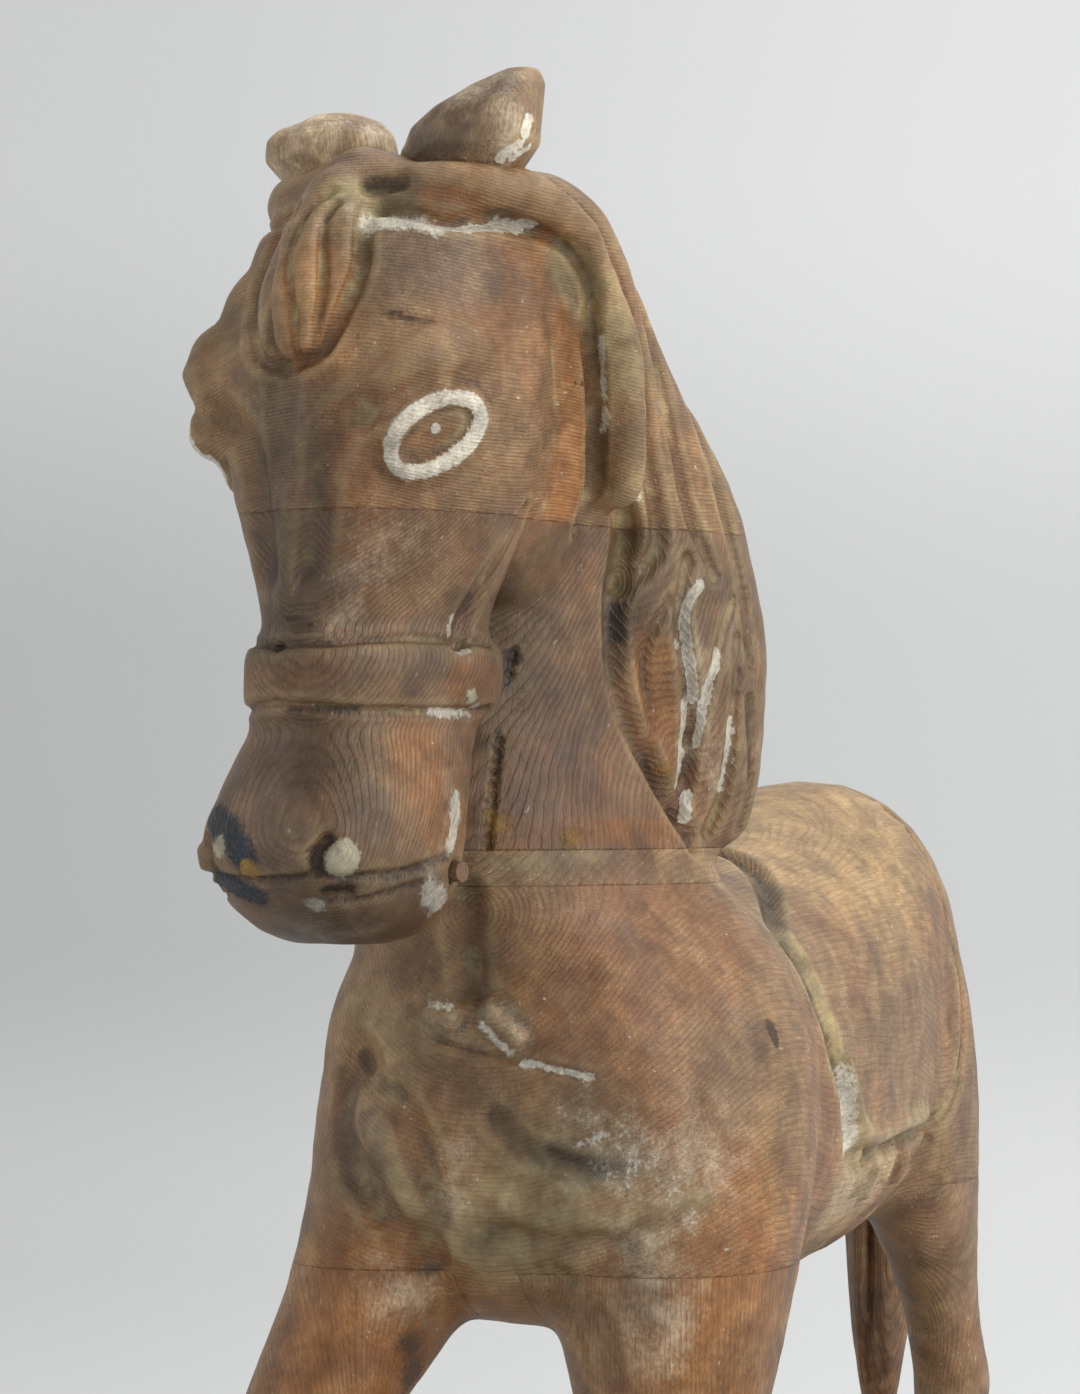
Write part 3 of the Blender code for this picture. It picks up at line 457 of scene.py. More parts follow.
LONE_HEAD_STROKES = (
    (POLL_HOLLOW, 0.005, 0.0032),
    (BROW_CRACK, 0.0016, 0.0012),
    (FAR_BROW, 0.0145, -0.0042),
)
PAIRED_HEAD_STROKES = (  # a fourth number is the share of the width that stays flat
    (ROLL_BACK, 0.01, -0.0024),
    (ROLL_EDGE, 0.0048, 0.004),
    (MANE_EDGE, 0.0075, 0.0058),
    (ROLL_TOP, 0.0125, -0.0022, 0.1),
    (TEAR_VALLEY, 0.0105, 0.004),
    (NOSE_ARRIS, 0.0036, -0.0008),
    (band_line(BAND_HIGH), 0.0028, 0.0018),
    (band_line(BAND_LOW), 0.0028, 0.0018),
    (band_line(BAND_MIDDLE), 0.0104, 0.0002, 0.85),
    *((drilling(number), 0.0024, 0.0022) for number in range(SLOT_DRILLINGS)),
    (CHEEK_LINE, 0.0034, 0.0008),
    (JAW_LINE, 0.0058, 0.0034),
    (MOUTH, 0.0022, 0.0017),
    (UNDER_LIP, 0.0017, 0.001),
    (NOSTRIL_HOLLOW, 0.0038, 0.0026),
    (LIP_HOLLOW, 0.0046, 0.003),
    ([NOSTRIL, NOSTRIL], 0.0062, -0.002, 0.4),
)

EYE = (0.0433, 0.1427, 0.6396)
EYE_FACING = (0.574, 0.819)  # the way the carved eye looks: left, ahead
EYE_MIDDLE = (-0.047, 0.638)  # the middle of its oval: across that way, up
EYE_HALF = (0.016, 0.0084)  # half its length and half its width
EYE_TURN = math.radians(36.0)
EYE_REACH = 0.034
RIM_W = 0.0031  # half the width of the raised and painted rim
RIM_HIGH = 0.0014
EYE_DEEP, EYE_SLOPE = 0.0014, (0.002, 0.0046)  # the hollow inside, and where it falls away
TRENCH_DEEP, TRENCH_OUT, TRENCH_W = 0.0008, 0.0048, 0.0026


def eye_gap(co, side):
    """How far each point stands from the line of the eye's oval; below 0 inside it."""
    left, ahead, up = in_head(co).T
    left = left * side
    across = left * EYE_FACING[1] - ahead * EYE_FACING[0] - EYE_MIDDLE[0]
    over = up - EYE_MIDDLE[1]
    along = (across * math.cos(EYE_TURN) + over * math.sin(EYE_TURN)) / EYE_HALF[0]
    wide = (over * math.cos(EYE_TURN) - across * math.sin(EYE_TURN)) / EYE_HALF[1]
    slope = np.hypot(along / EYE_HALF[0], wide / EYE_HALF[1]) + 1.0
    gap = np.maximum((along ** 2 + wide ** 2 - 1) / (2 * slope), -EYE_HALF[1])
    aside = np.sqrt((left - EYE[0]) ** 2 + (ahead - EYE[1]) ** 2 + (up - EYE[2]) ** 2)
    return np.where(aside < EYE_REACH, gap, 1.0)


def carve_eyes(tool):
    """A raised rim with a shallow hollow inside it and a soft trench round it."""
    for side in (-1, 1):
        gap = eye_gap(tool.co, side)
        tool.lift += RIM_HIGH * np.clip(1 - np.abs(gap) / RIM_W, 0, 1) ** 0.5
        tool.lift -= EYE_DEEP * step(-gap, *EYE_SLOPE)
        tool.lift -= TRENCH_DEEP * np.clip(1 - np.abs(gap - TRENCH_OUT) / TRENCH_W, 0, 1)
    tool.settle()


def carve_head(tool):
    tool.strokes(head_point, (*FORELOCK_BODIES, *MANE_LINES, *FORELOCK_EDGES))
    tool.strokes(head_point, MANE_LINES, sides=(-1,))
    tool.strokes(head_point, MANE_BACK_LINES, SIDES)
    tool.strokes(head_point, LONE_HEAD_STROKES)
    tool.strokes(head_point, PAIRED_HEAD_STROKES, SIDES)
    tool.settle()
    carve_eyes(tool)


CHEST_FOLD = [(0.0, 0.095, 0.49), (-0.0015, 0.093, 0.4763), (0.0, 0.0912, 0.4614)]
# the two raised lobes at the foot of the neck
CHEST_LOBES = (
    [(-0.014, 0.0915, 0.4515), (-0.007, 0.0915, 0.45)],
    [(0.008, 0.0925, 0.453), (0.0175, 0.092, 0.4445)],
)
# soft folds and ridges of the breast
CHEST_FOLDS = (
    ([(-0.042, 0.08, 0.433), (-0.048, 0.078, 0.418), (-0.045, 0.08, 0.402), (-0.036, 0.084, 0.386)],
     0.009, 0.0034),
    ([(-0.033, 0.088, 0.412), (-0.027, 0.09, 0.396), (-0.014, 0.09, 0.379), (0.002, 0.086, 0.366)],
     0.008, -0.0022),
    ([(0.01, 0.09, 0.418), (0.024, 0.089, 0.406), (0.04, 0.085, 0.401)], 0.007, 0.0022),
    ([(0.014, 0.09, 0.388), (0.032, 0.088, 0.385), (0.056, 0.078, 0.387), (0.07, 0.064, 0.393)],
     0.008, -0.0018),
    ([(0.005, 0.089, 0.378), (0.026, 0.087, 0.374), (0.048, 0.079, 0.375)], 0.008, 0.002),
    ([(0.025, 0.086, 0.362), (0.038, 0.082, 0.348), (0.042, 0.078, 0.33)], 0.008, 0.0018),
)
CHEST_CRACK = [(-0.012, 0.0925, 0.443), (0.004, 0.093, 0.4395), (0.02, 0.0925, 0.437),
    (0.042, 0.088, 0.432)]
SHOULDER_FOLD = [(-0.04, 0.085, 0.438), (-0.0355, 0.0899, 0.4291), (-0.0273, 0.0914, 0.4228),
    (-0.0162, 0.0915, 0.4034), (-0.0155, 0.0875, 0.3832), (-0.02, 0.08, 0.37)]
SADDLE_FRONT = [(0.0, -0.085, 0.512), (0.018, -0.084, 0.506), (0.034, -0.078, 0.499),
    (0.05, -0.055, 0.489), (0.063, -0.03, 0.477), (0.07, -0.031, 0.466), (0.078, -0.035, 0.446),
    (0.08, -0.043, 0.431), (0.08, -0.051, 0.42), (0.079, -0.059, 0.405), (0.074, -0.07, 0.396),
    (0.068, -0.09, 0.394)]
SADDLE_LOW = [(0.068, -0.09, 0.394), (0.07, -0.115, 0.395), (0.07, -0.139, 0.395),
    (0.066, -0.175, 0.395), (0.063, -0.205, 0.4), (0.062, -0.222, 0.42), (0.06, -0.23, 0.45),
    (0.045, -0.228, 0.48), (0.02, -0.224, 0.492), (0.0, -0.222, 0.494)]
SADDLE_HEM = [(0.076, -0.052, 0.43), (0.0775, -0.064, 0.416), (0.076, -0.078, 0.404),
    (0.07, -0.1, 0.402), (0.069, -0.14, 0.402), (0.065, -0.18, 0.402)]
# frayed corners of the cloth, hanging on the belly
SADDLE_TUFTS = [
    [(0.064, -0.086, 0.396), (0.061, -0.088, 0.386)],
    [(0.065, -0.102, 0.395), (0.06, -0.106, 0.382)],
    [(0.066, -0.126, 0.395), (0.062, -0.124, 0.386)],
    [(0.065, -0.15, 0.395), (0.059, -0.154, 0.382)],
]
FLANK_FOLD = [(0.04, -0.16, 0.372), (0.05, -0.18, 0.38), (0.055, -0.2, 0.392)]
CHEST_STROKES = (
    (CHEST_FOLD, 0.01, 0.0042),
    *((lobe, 0.0105, 0.0022) for lobe in CHEST_LOBES),
    (CHEST_CRACK, 0.0022, 0.0012),
    *CHEST_FOLDS,
    (SHOULDER_FOLD, 0.01, 0.004),
)
SADDLE_STROKES = (
    (SADDLE_FRONT, 0.008, 0.0042),
    (SADDLE_LOW, 0.005, 0.003),
    (SADDLE_HEM, 0.0064, -0.0022),
    *((tuft, 0.0044, -0.003) for tuft in SADDLE_TUFTS),
    (FLANK_FOLD, 0.006, 0.0022),
)


def carve_body(tool):
    tool.strokes(body_point, CHEST_STROKES)
    tool.strokes(body_point, SADDLE_STROKES, SIDES)
    tool.settle()
    tool.strokes(body_point, [(lobe, 0.0066, -0.0042) for lobe in CHEST_LOBES])
    tool.settle()


def rough_cut(tool):
    """Tool marks, and the sag of a surface that was scraped by hand."""
    for k, point in enumerate(tool.co):
        p = Vector(point)
        tool.lift[k] += 0.00055 * noise.noise(p * 38.0) + 0.00028 * noise.noise(p * 120.0)
    tool.settle()


# ---------------------------------------------------------------- parting the form
GLUE = 0.00004  # half a glue line
FAR_OUT = 0.3  # past the form on every side
OVER_TOP = 0.9
UNDER_CHIN = 0.44
THROAT_Z = 0.42
MOST_FACES = 190_000


def slot_f(up, side):
    return SLOT_F + (NECK_SEAM_Z - up) * SLOT_LEAN + side * SLOT_W / 2


def head_top_outline():
    low = CROWN_SEAM_Z
    return [(-FAR_OUT, low), (FAR_OUT, low), (FAR_OUT, OVER_TOP), (-FAR_OUT, OVER_TOP)]


def head_neck_outline():
    high, low = CROWN_SEAM_Z - 2 * GLUE, NECK_SEAM_Z + GLUE
    return [(MANE_BACK_F, high), (MANE_BACK_F, low),
            (slot_f(low, -1), low), (slot_f(SLOT_TOP_Z, -1), SLOT_TOP_Z),
            (slot_f(SLOT_TOP_Z, 1), SLOT_TOP_Z), (slot_f(UNDER_CHIN, 1), UNDER_CHIN),
            (FAR_OUT, UNDER_CHIN), (FAR_OUT, high)]


def neck_board_outline():
    high, low = NECK_SEAM_Z - GLUE, SHOULDER_SEAM_Z + GLUE
    back = WITHERS_F + GLUE
    return [(back, low), (slot_f(low, -1), low), (slot_f(high, -1), high), (back, high)]


def neck_room_outline():
    low, back, over = SHOULDER_SEAM_Z - GLUE, WITHERS_F - GLUE, NECK_SEAM_Z - GLUE
    return [(MANE_BACK_F, OVER_TOP), (MANE_BACK_F, over), (back, over), (back, low),
            (slot_f(low, -1), low), (slot_f(THROAT_Z, -1), THROAT_Z),
            (FAR_OUT, THROAT_Z), (FAR_OUT, OVER_TOP)]


def prism(name, outline, half_width=0.2):
    """A prism across the head's frame, its outline given as (ahead, up)."""
    work = bmesh.new()
    near = [work.verts.new(head_point(-half_width, *p)) for p in outline]
    far = [work.verts.new(head_point(half_width, *p)) for p in outline]
    work.faces.new(near)
    work.faces.new(far[::-1])
    for k in range(len(outline)):
        n = (k + 1) % len(outline)
        work.faces.new((near[k], far[k], far[n], near[n]))
    bmesh.ops.triangulate(work, faces=work.faces[:])
    bmesh.ops.recalc_face_normals(work, faces=work.faces[:])
    return built(name, work)


def boxed(name, low, high):
    work = bmesh.new()
    bmesh.ops.create_cube(work, size=1)
    for vert in work.verts:
        vert.co = Vector([low[k] if vert.co[k] < 0 else high[k] for k in range(3)])
    bmesh.ops.triangulate(work, faces=work.faces[:])
    return built(name, work)


def cut(obj, cutter, operation):
    part = obj.modifiers.new("cut", "BOOLEAN")
    part.operation = operation
    part.solver = "MANIFOLD"
    part.object = cutter
    applied(obj)
    bpy.data.objects.remove(cutter)
    return obj


def leg_room(name, grow):
    """The room of a leg's block: the CAD block's own box, opened on its outer sides."""
    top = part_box(name)[1].z
    side = 1 if name.endswith("left") else -1
    inner, far = side * (LEG_INNER_L - grow), side * 0.16
    ahead, behind = (0.2, FORELEG_BACK_F) if name.startswith("fore") else (HINDLEG_FRONT_F, -0.38)
    return ((min(inner, far), CHEST_Y - ahead - grow, 0.05),
            (max(inner, far), CHEST_Y - behind + grow, top + grow))


def thinned(obj):
    """The piece with no more triangles than it may have, taken from its flattest parts."""
    obj.data.calc_loop_triangles()
    count = len(obj.data.loop_triangles)
    if count > MOST_FACES:
        thin = obj.modifiers.new("thin", "DECIMATE")
        thin.ratio = MOST_FACES / count
        applied(obj)
    return obj


def parted(form):
    """The form's pieces, by the names of the CAD blocks they stand for."""
    parts = {}
    for name, outline in (("head_top_block", head_top_outline()),
                          ("head_neck_block", head_neck_outline()),
                          ("neck_board", neck_board_outline())):
        piece = link("carved_" + name, form.data.copy())
        parts[name] = cut(piece, prism(name + "_room", outline), "INTERSECT")
    body = link("carved_body_block", form.data.copy())
    cut(body, prism("neck_room", neck_room_outline()), "DIFFERENCE")
    for name in LEGS:
        piece = link("carved_" + name, form.data.copy())
        parts[name] = cut(piece, boxed(name + "_room", *leg_room(name, -GLUE)), "INTERSECT")
        cut(body, boxed(name + "_gap", *leg_room(name, GLUE)), "DIFFERENCE")
    parts["body_block"] = thinned(body)
    return parts


# ---------------------------------------------------------------- remains of paint and stain, and painted shade
# for each field and frame: points near the skin, the width at which it has faded out, strength
OVER_SEAM = [(left, ahead, NECK_SEAM_Z + 0.0045)
             for left, ahead in ((0.03, 0.09), (0.038, 0.05), (0.044, 0.015))]
BELLY_EDGE = [(0.068, -0.07, 0.382), (0.065, -0.12, 0.384)]
MARKS_AND_SHADE = {
    ("white", head_point): (
        ([(0.017, 0.145, 0.7085), (0.027, 0.139, 0.709), (0.036, 0.133, 0.7065)], 0.0062, 1.3),
        ([(0.034, 0.133, 0.7075), (0.04, 0.125, 0.708), (0.0435, 0.11, 0.7095),
         (0.0465, 0.096, 0.7085)], 0.0036, 1.6),
        ([EYE], 0.0026, 1.8),
        ([(0.037, 0.112, 0.5505), (0.03, 0.13, 0.5505)], 0.003, 0.9),
        ([(0.036, 0.1165, 0.579), (0.0355, 0.119, 0.573)], 0.003, 1.1),
        ([(0.0505, 0.066, 0.674), (0.0475, 0.06, 0.657), (0.045, 0.056, 0.644)], 0.003, 0.95),
        ([(0.0365, 0.1225, 0.5225), (0.036, 0.1235, 0.513), (0.0365, 0.1255, 0.5075)], 0.005, 1.1),
        ([(0.016, 0.17, 0.49)], 0.005, 1.2),
        ([(0.032, 0.127, 0.49), (0.033, 0.133, 0.493)], 0.0075, 1.1),
        ([(0.05, 0.001, 0.596), (0.0484, 0.0085, 0.5838), (0.0487, 0.0044, 0.56),
         (0.0461, 0.0016, 0.536), (0.0464, 0.0046, 0.5154)], 0.0026, 2.2),
        ([(0.0531, -0.0078, 0.5739), (0.0512, -0.0013, 0.5566), (0.047, 0.001, 0.542)], 0.0023,
         2.0),
        ([(0.0546, -0.015, 0.5499), (0.0524, -0.0121, 0.5257)], 0.0021, 1.6),
        ([(0.052, 0.037, 0.644), (0.044, 0.03, 0.624)], 0.0026, 1.8),
        ([(0.0375, 0.034, 0.568), (0.039, 0.029, 0.552), (0.041, 0.022, 0.538),
         (0.044, 0.013, 0.525)], 0.0034, 1.1),
    ),
    ("haze", head_point): (
        ([(0.02, 0.157, 0.592), (0.017, 0.1565, 0.581)], 0.013, 1.0),
        ([(0.03, 0.148, 0.606), (0.026, 0.15, 0.596)], 0.016, 0.7),
        ([(0.05, 0.006, 0.591), (0.0495, 0.002, 0.557), (0.052, -0.008, 0.529)], 0.011, 0.9),
        ([(0.053, 0.038, 0.65), (0.046, 0.028, 0.63)], 0.011, 0.8),
        ([(0.036, 0.125, 0.528), (0.034, 0.133, 0.5)], 0.01, 0.8),
        ([(0.016, 0.147, 0.712), (0.03, 0.137, 0.71)], 0.01, 0.9),
        ([(0.0, 0.162, 0.485), (0.02, 0.155, 0.483)], 0.016, 0.8),
        ([(0.026, 0.158, 0.608), (0.033, 0.14, 0.602)], 0.016, 0.7),
    ),
    # mostly painted shade: the mouth, hollows, grooves, crack and slot are darkened; the line over
    # the seam and the small dots are the wood's own dark marks
    ("dark", head_point): (
        (MOUTH, 0.0026, 0.9),
        (OVER_SEAM, 0.006, 0.42),
        (POLL_HOLLOW, 0.007, 0.9),
        (BROW_CRACK, 0.0034, 0.8),
        (LIP_HOLLOW, 0.006, 1.3),
        (NOSTRIL_HOLLOW, 0.005, 1.2),
        (UNDER_LIP, 0.0026, 0.8),
        ([EYE], 0.007, 0.55),
        ([(0.0365, 0.032, 0.594), (0.037, 0.032, 0.568)], 0.006, 1.2),
        ([(0.0455, 0.004, 0.5205)], 0.0016, 1.6),
        ([(0.048, 0.07, 0.66)], 0.0014, 1.6),
        ([(0.0475, 0.066, 0.66)], 0.0014, 1.6),
        ([(0.005, 0.17, 0.551), (0.022, 0.156, 0.551)], 0.0034, 0.9),
        ([(0.002, 0.166, 0.58), (0.01, 0.164, 0.578)], 0.004, 0.8),
        ([slot_point(0.02), slot_point(0.14)], 0.0034, 1.7),
        ([slot_point(0.14), slot_point(0.98)], 0.003, 0.8),
    ),
    ("white", body_point): (
        ([(l, a, u + 0.0036) for l, a, u in CHEST_LOBES[0]], 0.0034, 0.8),
        ([(l - 0.003, a, u - 0.0046) for l, a, u in CHEST_LOBES[1]], 0.0032, 0.8),
        ([(0.02, 0.0925, 0.437), (0.042, 0.088, 0.432)], 0.0024, 1.1),
        ([(0.042, 0.086, 0.413), (0.056, 0.08, 0.402), (0.064, 0.074, 0.395)], 0.028, 0.3),
        ([(0.079, -0.05, 0.425), (0.08, -0.059, 0.408), (0.074, -0.07, 0.398)], 0.0075, 0.85),
        ([(0.036, 0.087, 0.41), (0.046, 0.085, 0.414)], 0.0024, 0.9),
    ),
    ("haze", body_point): (
        (CHEST_LOBES[0], 0.009, 0.9),
        (CHEST_LOBES[1], 0.009, 0.9),
        (BELLY_EDGE, 0.024, 1.2),
        ([(0.046, 0.085, 0.408), (0.064, 0.076, 0.4), (0.07, 0.068, 0.405)], 0.03, 1.0),
        ([(0.055, 0.073, 0.378), (0.06, 0.07, 0.35)], 0.026, 1.0),
        ([(-0.005, 0.092, 0.405), (-0.01, 0.09, 0.39)], 0.014, 0.8),
        ([(-0.03, 0.092, 0.362), (-0.02, 0.088, 0.356)], 0.016, 1.0),
    ),
    ("green", body_point): (
        (SADDLE_FRONT[4:], 0.014, 1.0),
        (SADDLE_HEM, 0.009, 0.9),
        (CHEST_FOLDS[1][0], 0.009, 0.5),
        (CHEST_FOLDS[3][0], 0.012, 0.45),
        ([(-0.045, 0.08, 0.455), (-0.02, 0.09, 0.445), (-0.03, 0.088, 0.425)], 0.022, 0.35),
        ([(0.03, 0.088, 0.4), (0.01, 0.09, 0.38)], 0.035, 0.7),
    ),
    # painted shade in the chest's folds, the saddle's groove and the middle of the chest
    ("shade_and_tone", body_point): (
        (CHEST_FOLDS[0][0], 0.012, 0.5),
        (CHEST_FOLDS[2][0], 0.011, 0.9),
        (SADDLE_FRONT[:6], 0.01, 1.0),
        (SADDLE_LOW[:4], 0.006, 0.7),
        ([(0.0, 0.095, 0.488), (0.0, 0.092, 0.46)], 0.022, 0.7),
        ([(-0.01, 0.094, 0.435), (0.025, 0.09, 0.4), (0.015, 0.085, 0.37)], 0.03, 0.45),
    ),
    ("pale", body_point): (
        (BELLY_EDGE, 0.03, 0.8),
        ([(0.03, -0.11, 0.502), (0.04, -0.15, 0.5), (0.02, -0.19, 0.51)], 0.06, 1.0),
        ([(-0.03, -0.11, 0.502), (-0.04, -0.15, 0.5)], 0.06, 1.0),
    ),
    ("cream", head_point): (
        ([NOSTRIL], 0.0088, 1.6),
        ([(-0.015, 0.18, 0.507)], 0.006, 1.0),
        ([(0.036, 0.115, 0.556)], 0.005, 0.8),
    ),
    ("teal", head_point): (
        ([(-0.021, 0.176, 0.517), (-0.009, 0.181, 0.51), (-0.003, 0.181, 0.503)], 0.008, 1.2),
        ([(-0.018, 0.176, 0.498), (-0.005, 0.175, 0.492)], 0.0075, 1.1),
    ),
    ("ochre", head_point): (
        ([(-0.002, 0.181, 0.5)], 0.0056, 1.5),
        ([(0.0275, 0.087, 0.516)], 0.008, 0.8),
        ([(0.035, 0.062, 0.508)], 0.007, 0.6),
        ([(0.045, 0.012, 0.532)], 0.005, 0.9),
    ),
    ("warm", head_point): (
        (OVER_SEAM, 0.0075, 0.8),
        ([(0.008, 0.163, 0.688), (0.009, 0.165, 0.668)], 0.02, 1.0),
        ([(0.048, 0.074, 0.676), (0.047, 0.068, 0.65), (0.043, 0.068, 0.624)], 0.016, 1.0),
        ([(0.036, 0.13, 0.713), (0.046, 0.105, 0.714), (0.052, 0.08, 0.706)], 0.011, 0.9),
        ([(0.037, 0.118, 0.561), (0.033, 0.11, 0.561)], 0.012, 1.0),
        ([(0.036, 0.14, 0.535), (0.035, 0.13, 0.518)], 0.02, 0.8),
        ([(0.042, 0.02, 0.57), (0.046, 0.01, 0.54)], 0.014, 0.8),
    ),
    ("green", head_point): (
        ([(0.03, 0.09, NECK_SEAM_Z - 0.004), (0.038, 0.05, NECK_SEAM_Z - 0.004)], 0.008, 0.35),
        ([(0.05, 0.08, 0.698), (0.053, 0.064, 0.684), (0.055, 0.056, 0.665)], 0.013, 1.0),
        ([(0.01, 0.145, 0.716), (0.018, 0.14, 0.715)], 0.012, 0.9),
        ([(0.054, 0.04, 0.648), (0.05, 0.03, 0.633)], 0.01, 0.8),
    ),
    # painted shade under the jaw by the neck seam, under the hair roll, on the nose's front face,
    # in the grooves, about the mouth and under the muzzle; the noseband is darker too
    ("shade_and_tone", head_point): (
        ([(0.03, 0.09, NECK_SEAM_Z - 0.004), (0.042, 0.03, NECK_SEAM_Z - 0.004)], 0.02, 0.5),
        ([(0.026, 0.132, 0.715), (0.038, 0.118, 0.716), (0.048, 0.095, 0.713)], 0.013, 0.8),
        ([(0.0, 0.168, 0.65), (0.0, 0.168, 0.61), (0.0, 0.168, 0.578)], 0.024, 0.75),
        ([(0.01, 0.164, 0.638), (0.012, 0.164, 0.605), (0.01, 0.164, 0.585)], 0.012, 0.7),
        ([(0.0, 0.16, 0.485), (0.015, 0.15, 0.483), (0.025, 0.14, 0.49)], 0.028, 1.0),
        ([(0.01, 0.176, 0.498), (0.028, 0.166, 0.494)], 0.012, 0.8),
        ([(0.03, 0.07, 0.585), (0.029, 0.075, 0.54)], 0.022, 0.7),
        ([(0.032, 0.085, 0.575), (0.034, 0.07, 0.53)], 0.048, 1.0),
        (band_line(BAND_MIDDLE), 0.013, 0.45),
        ([(0.02, 0.17, 0.535), (0.025, 0.165, 0.515)], 0.024, 0.8),
        ([(0.038, 0.03, 0.6), (0.037, 0.032, 0.57)], 0.011, 0.9),
    ),
    # painted shade in the chest's folds and along the saddle's edge; the patch on the right foreleg
    # and the knot are the wood's own dark marks
    ("dark", body_point): (
        (CHEST_FOLD, 0.013, 0.46),
        (SHOULDER_FOLD, 0.014, 0.34),
        ([(-0.027, 0.08, 0.339), (-0.024, 0.074, 0.325)], 0.017, 0.9),
        ([(0.03, 0.088, 0.409), (0.04, 0.086, 0.404), (0.056, 0.081, 0.402)], 0.009, 0.9),
        ([(0.082, 0.029, 0.447), (0.082, 0.028, 0.442)], 0.0042, 1.4),
        (SADDLE_FRONT[:8], 0.007, 0.7),
    ),
    ("warm", body_point): (
        ([(-0.037, 0.09, 0.356), (-0.05, 0.08, 0.32), (-0.06, 0.09, 0.29)], 0.042, 0.9),
        ([(0.075, 0.05, 0.39), (0.065, 0.05, 0.35), (0.06, 0.045, 0.3)], 0.035, 0.6),
    ),
    # painted shade: the nose's and muzzle's front faces and the underside of the muzzle are greyed;
    # a patch on the brow is greyed too
    ("grey", head_point): (
        ([(0.0, 0.168, 0.64), (0.0, 0.168, 0.58)], 0.02, 1.0),
        ([(0.035, 0.148, 0.693), (0.045, 0.125, 0.693)], 0.02, 0.8),
        ([(0.0, 0.175, 0.53), (0.005, 0.178, 0.512)], 0.026, 0.9),
        ([(0.01, 0.15, 0.48)], 0.025, 0.7),
    ),
    # painted shade on the right of the chest beside the shoulder fold
    ("grey", body_point): (
        ([(-0.04, 0.085, 0.415), (-0.038, 0.085, 0.4)], 0.02, 0.9),
    ),
}
EAR_MARKS_AND_SHADE = {
    ("white", head_point): (
        ([(0.047, 0.113, 0.728), (0.0475, 0.109, 0.735), (0.048, 0.106, 0.742)], 0.003, 1.5),
        ([(0.049, 0.108, 0.728), (0.0495, 0.104, 0.735)], 0.002, 1.3),
    ),
    ("haze", head_point): (
        ([(0.044, 0.112, 0.733), (0.046, 0.108, 0.75)], 0.012, 0.9),
        ([(0.03, 0.12, 0.756), (0.042, 0.112, 0.76)], 0.011, 1.0),
        ([(-0.022, 0.12, 0.75), (-0.038, 0.112, 0.756)], 0.026, 1.0),
        ([(-0.03, 0.12, 0.74), (-0.04, 0.115, 0.735)], 0.018, 0.8),
    ),
    # painted shade: the ear's hollow is greyed and its foot against the hair is darkened
    ("grey", head_point): (
        ([(0.025, 0.124, 0.74), (0.038, 0.118, 0.748)], 0.02, 1.0),
    ),
    ("shade_and_tone", head_point): (
        ([(0.02, 0.124, 0.736), (0.036, 0.12, 0.734)], 0.012, 0.6),
    ),
}
FIELDS = ("white", "cream", "teal", "ochre", "dark", "warm", "grey", "pale", "green", "haze",
          "shade_and_tone")
RIM_WHITE = 1.9
HOOF_Z = DECK_Z + 0.024
HOOF_DARK = 0.75


def fields_on(tool, marks_and_shade):
    """Every field's strength at each vertex of a carved mesh."""
    out = {name: np.zeros(len(tool.co)) for name in FIELDS}
    for (field, place), marks in marks_and_shade.items():
        for points, width, strength in marks:
            line = points if len(points) > 1 else points * 2
            found, away = tool.near(tool.draped(place, line), width)
            out[field][found] = np.maximum(out[field][found], strength * (1 - away / width))
    for side in (-1, 1):
        rim = RIM_WHITE * (1 - np.abs(eye_gap(tool.co, side)) / RIM_W)
        out["white"] = np.maximum(out["white"], rim)
    hoof = step(-tool.co[:, 2], -HOOF_Z - 0.003, -HOOF_Z + 0.002)
    out["dark"] = np.maximum(out["dark"], HOOF_DARK * hoof)
    # proud: how far each point stands out of its surroundings; from it the finish paints shade into
    # hollows and rubbed wear with painted highlight onto edges
    edges = edges_of(tool.mesh)
    even = averaged(tool.co, edges, 10)
    proud = np.einsum("ij,ij->i", tool.co - even, tool.normal)
    out["proud"] = averaged(proud, edges, 2) * 1000.0
    return out


def store(mesh, values):
    for name, column in values.items():
        layer = mesh.attributes.new(name, "FLOAT", "POINT")
        layer.data.foreach_set("value", column.astype(np.float32))


# ---------------------------------------------------------------- materials
def colour(red, green, blue):
    """Linear colour of an sRGB one given in 0..255."""
    def linear(v):
        v /= 255
        return v / 12.92 if v <= 0.04045 else ((v + 0.055) / 1.055) ** 2.4
    return (linear(red), linear(green), linear(blue), 1.0)


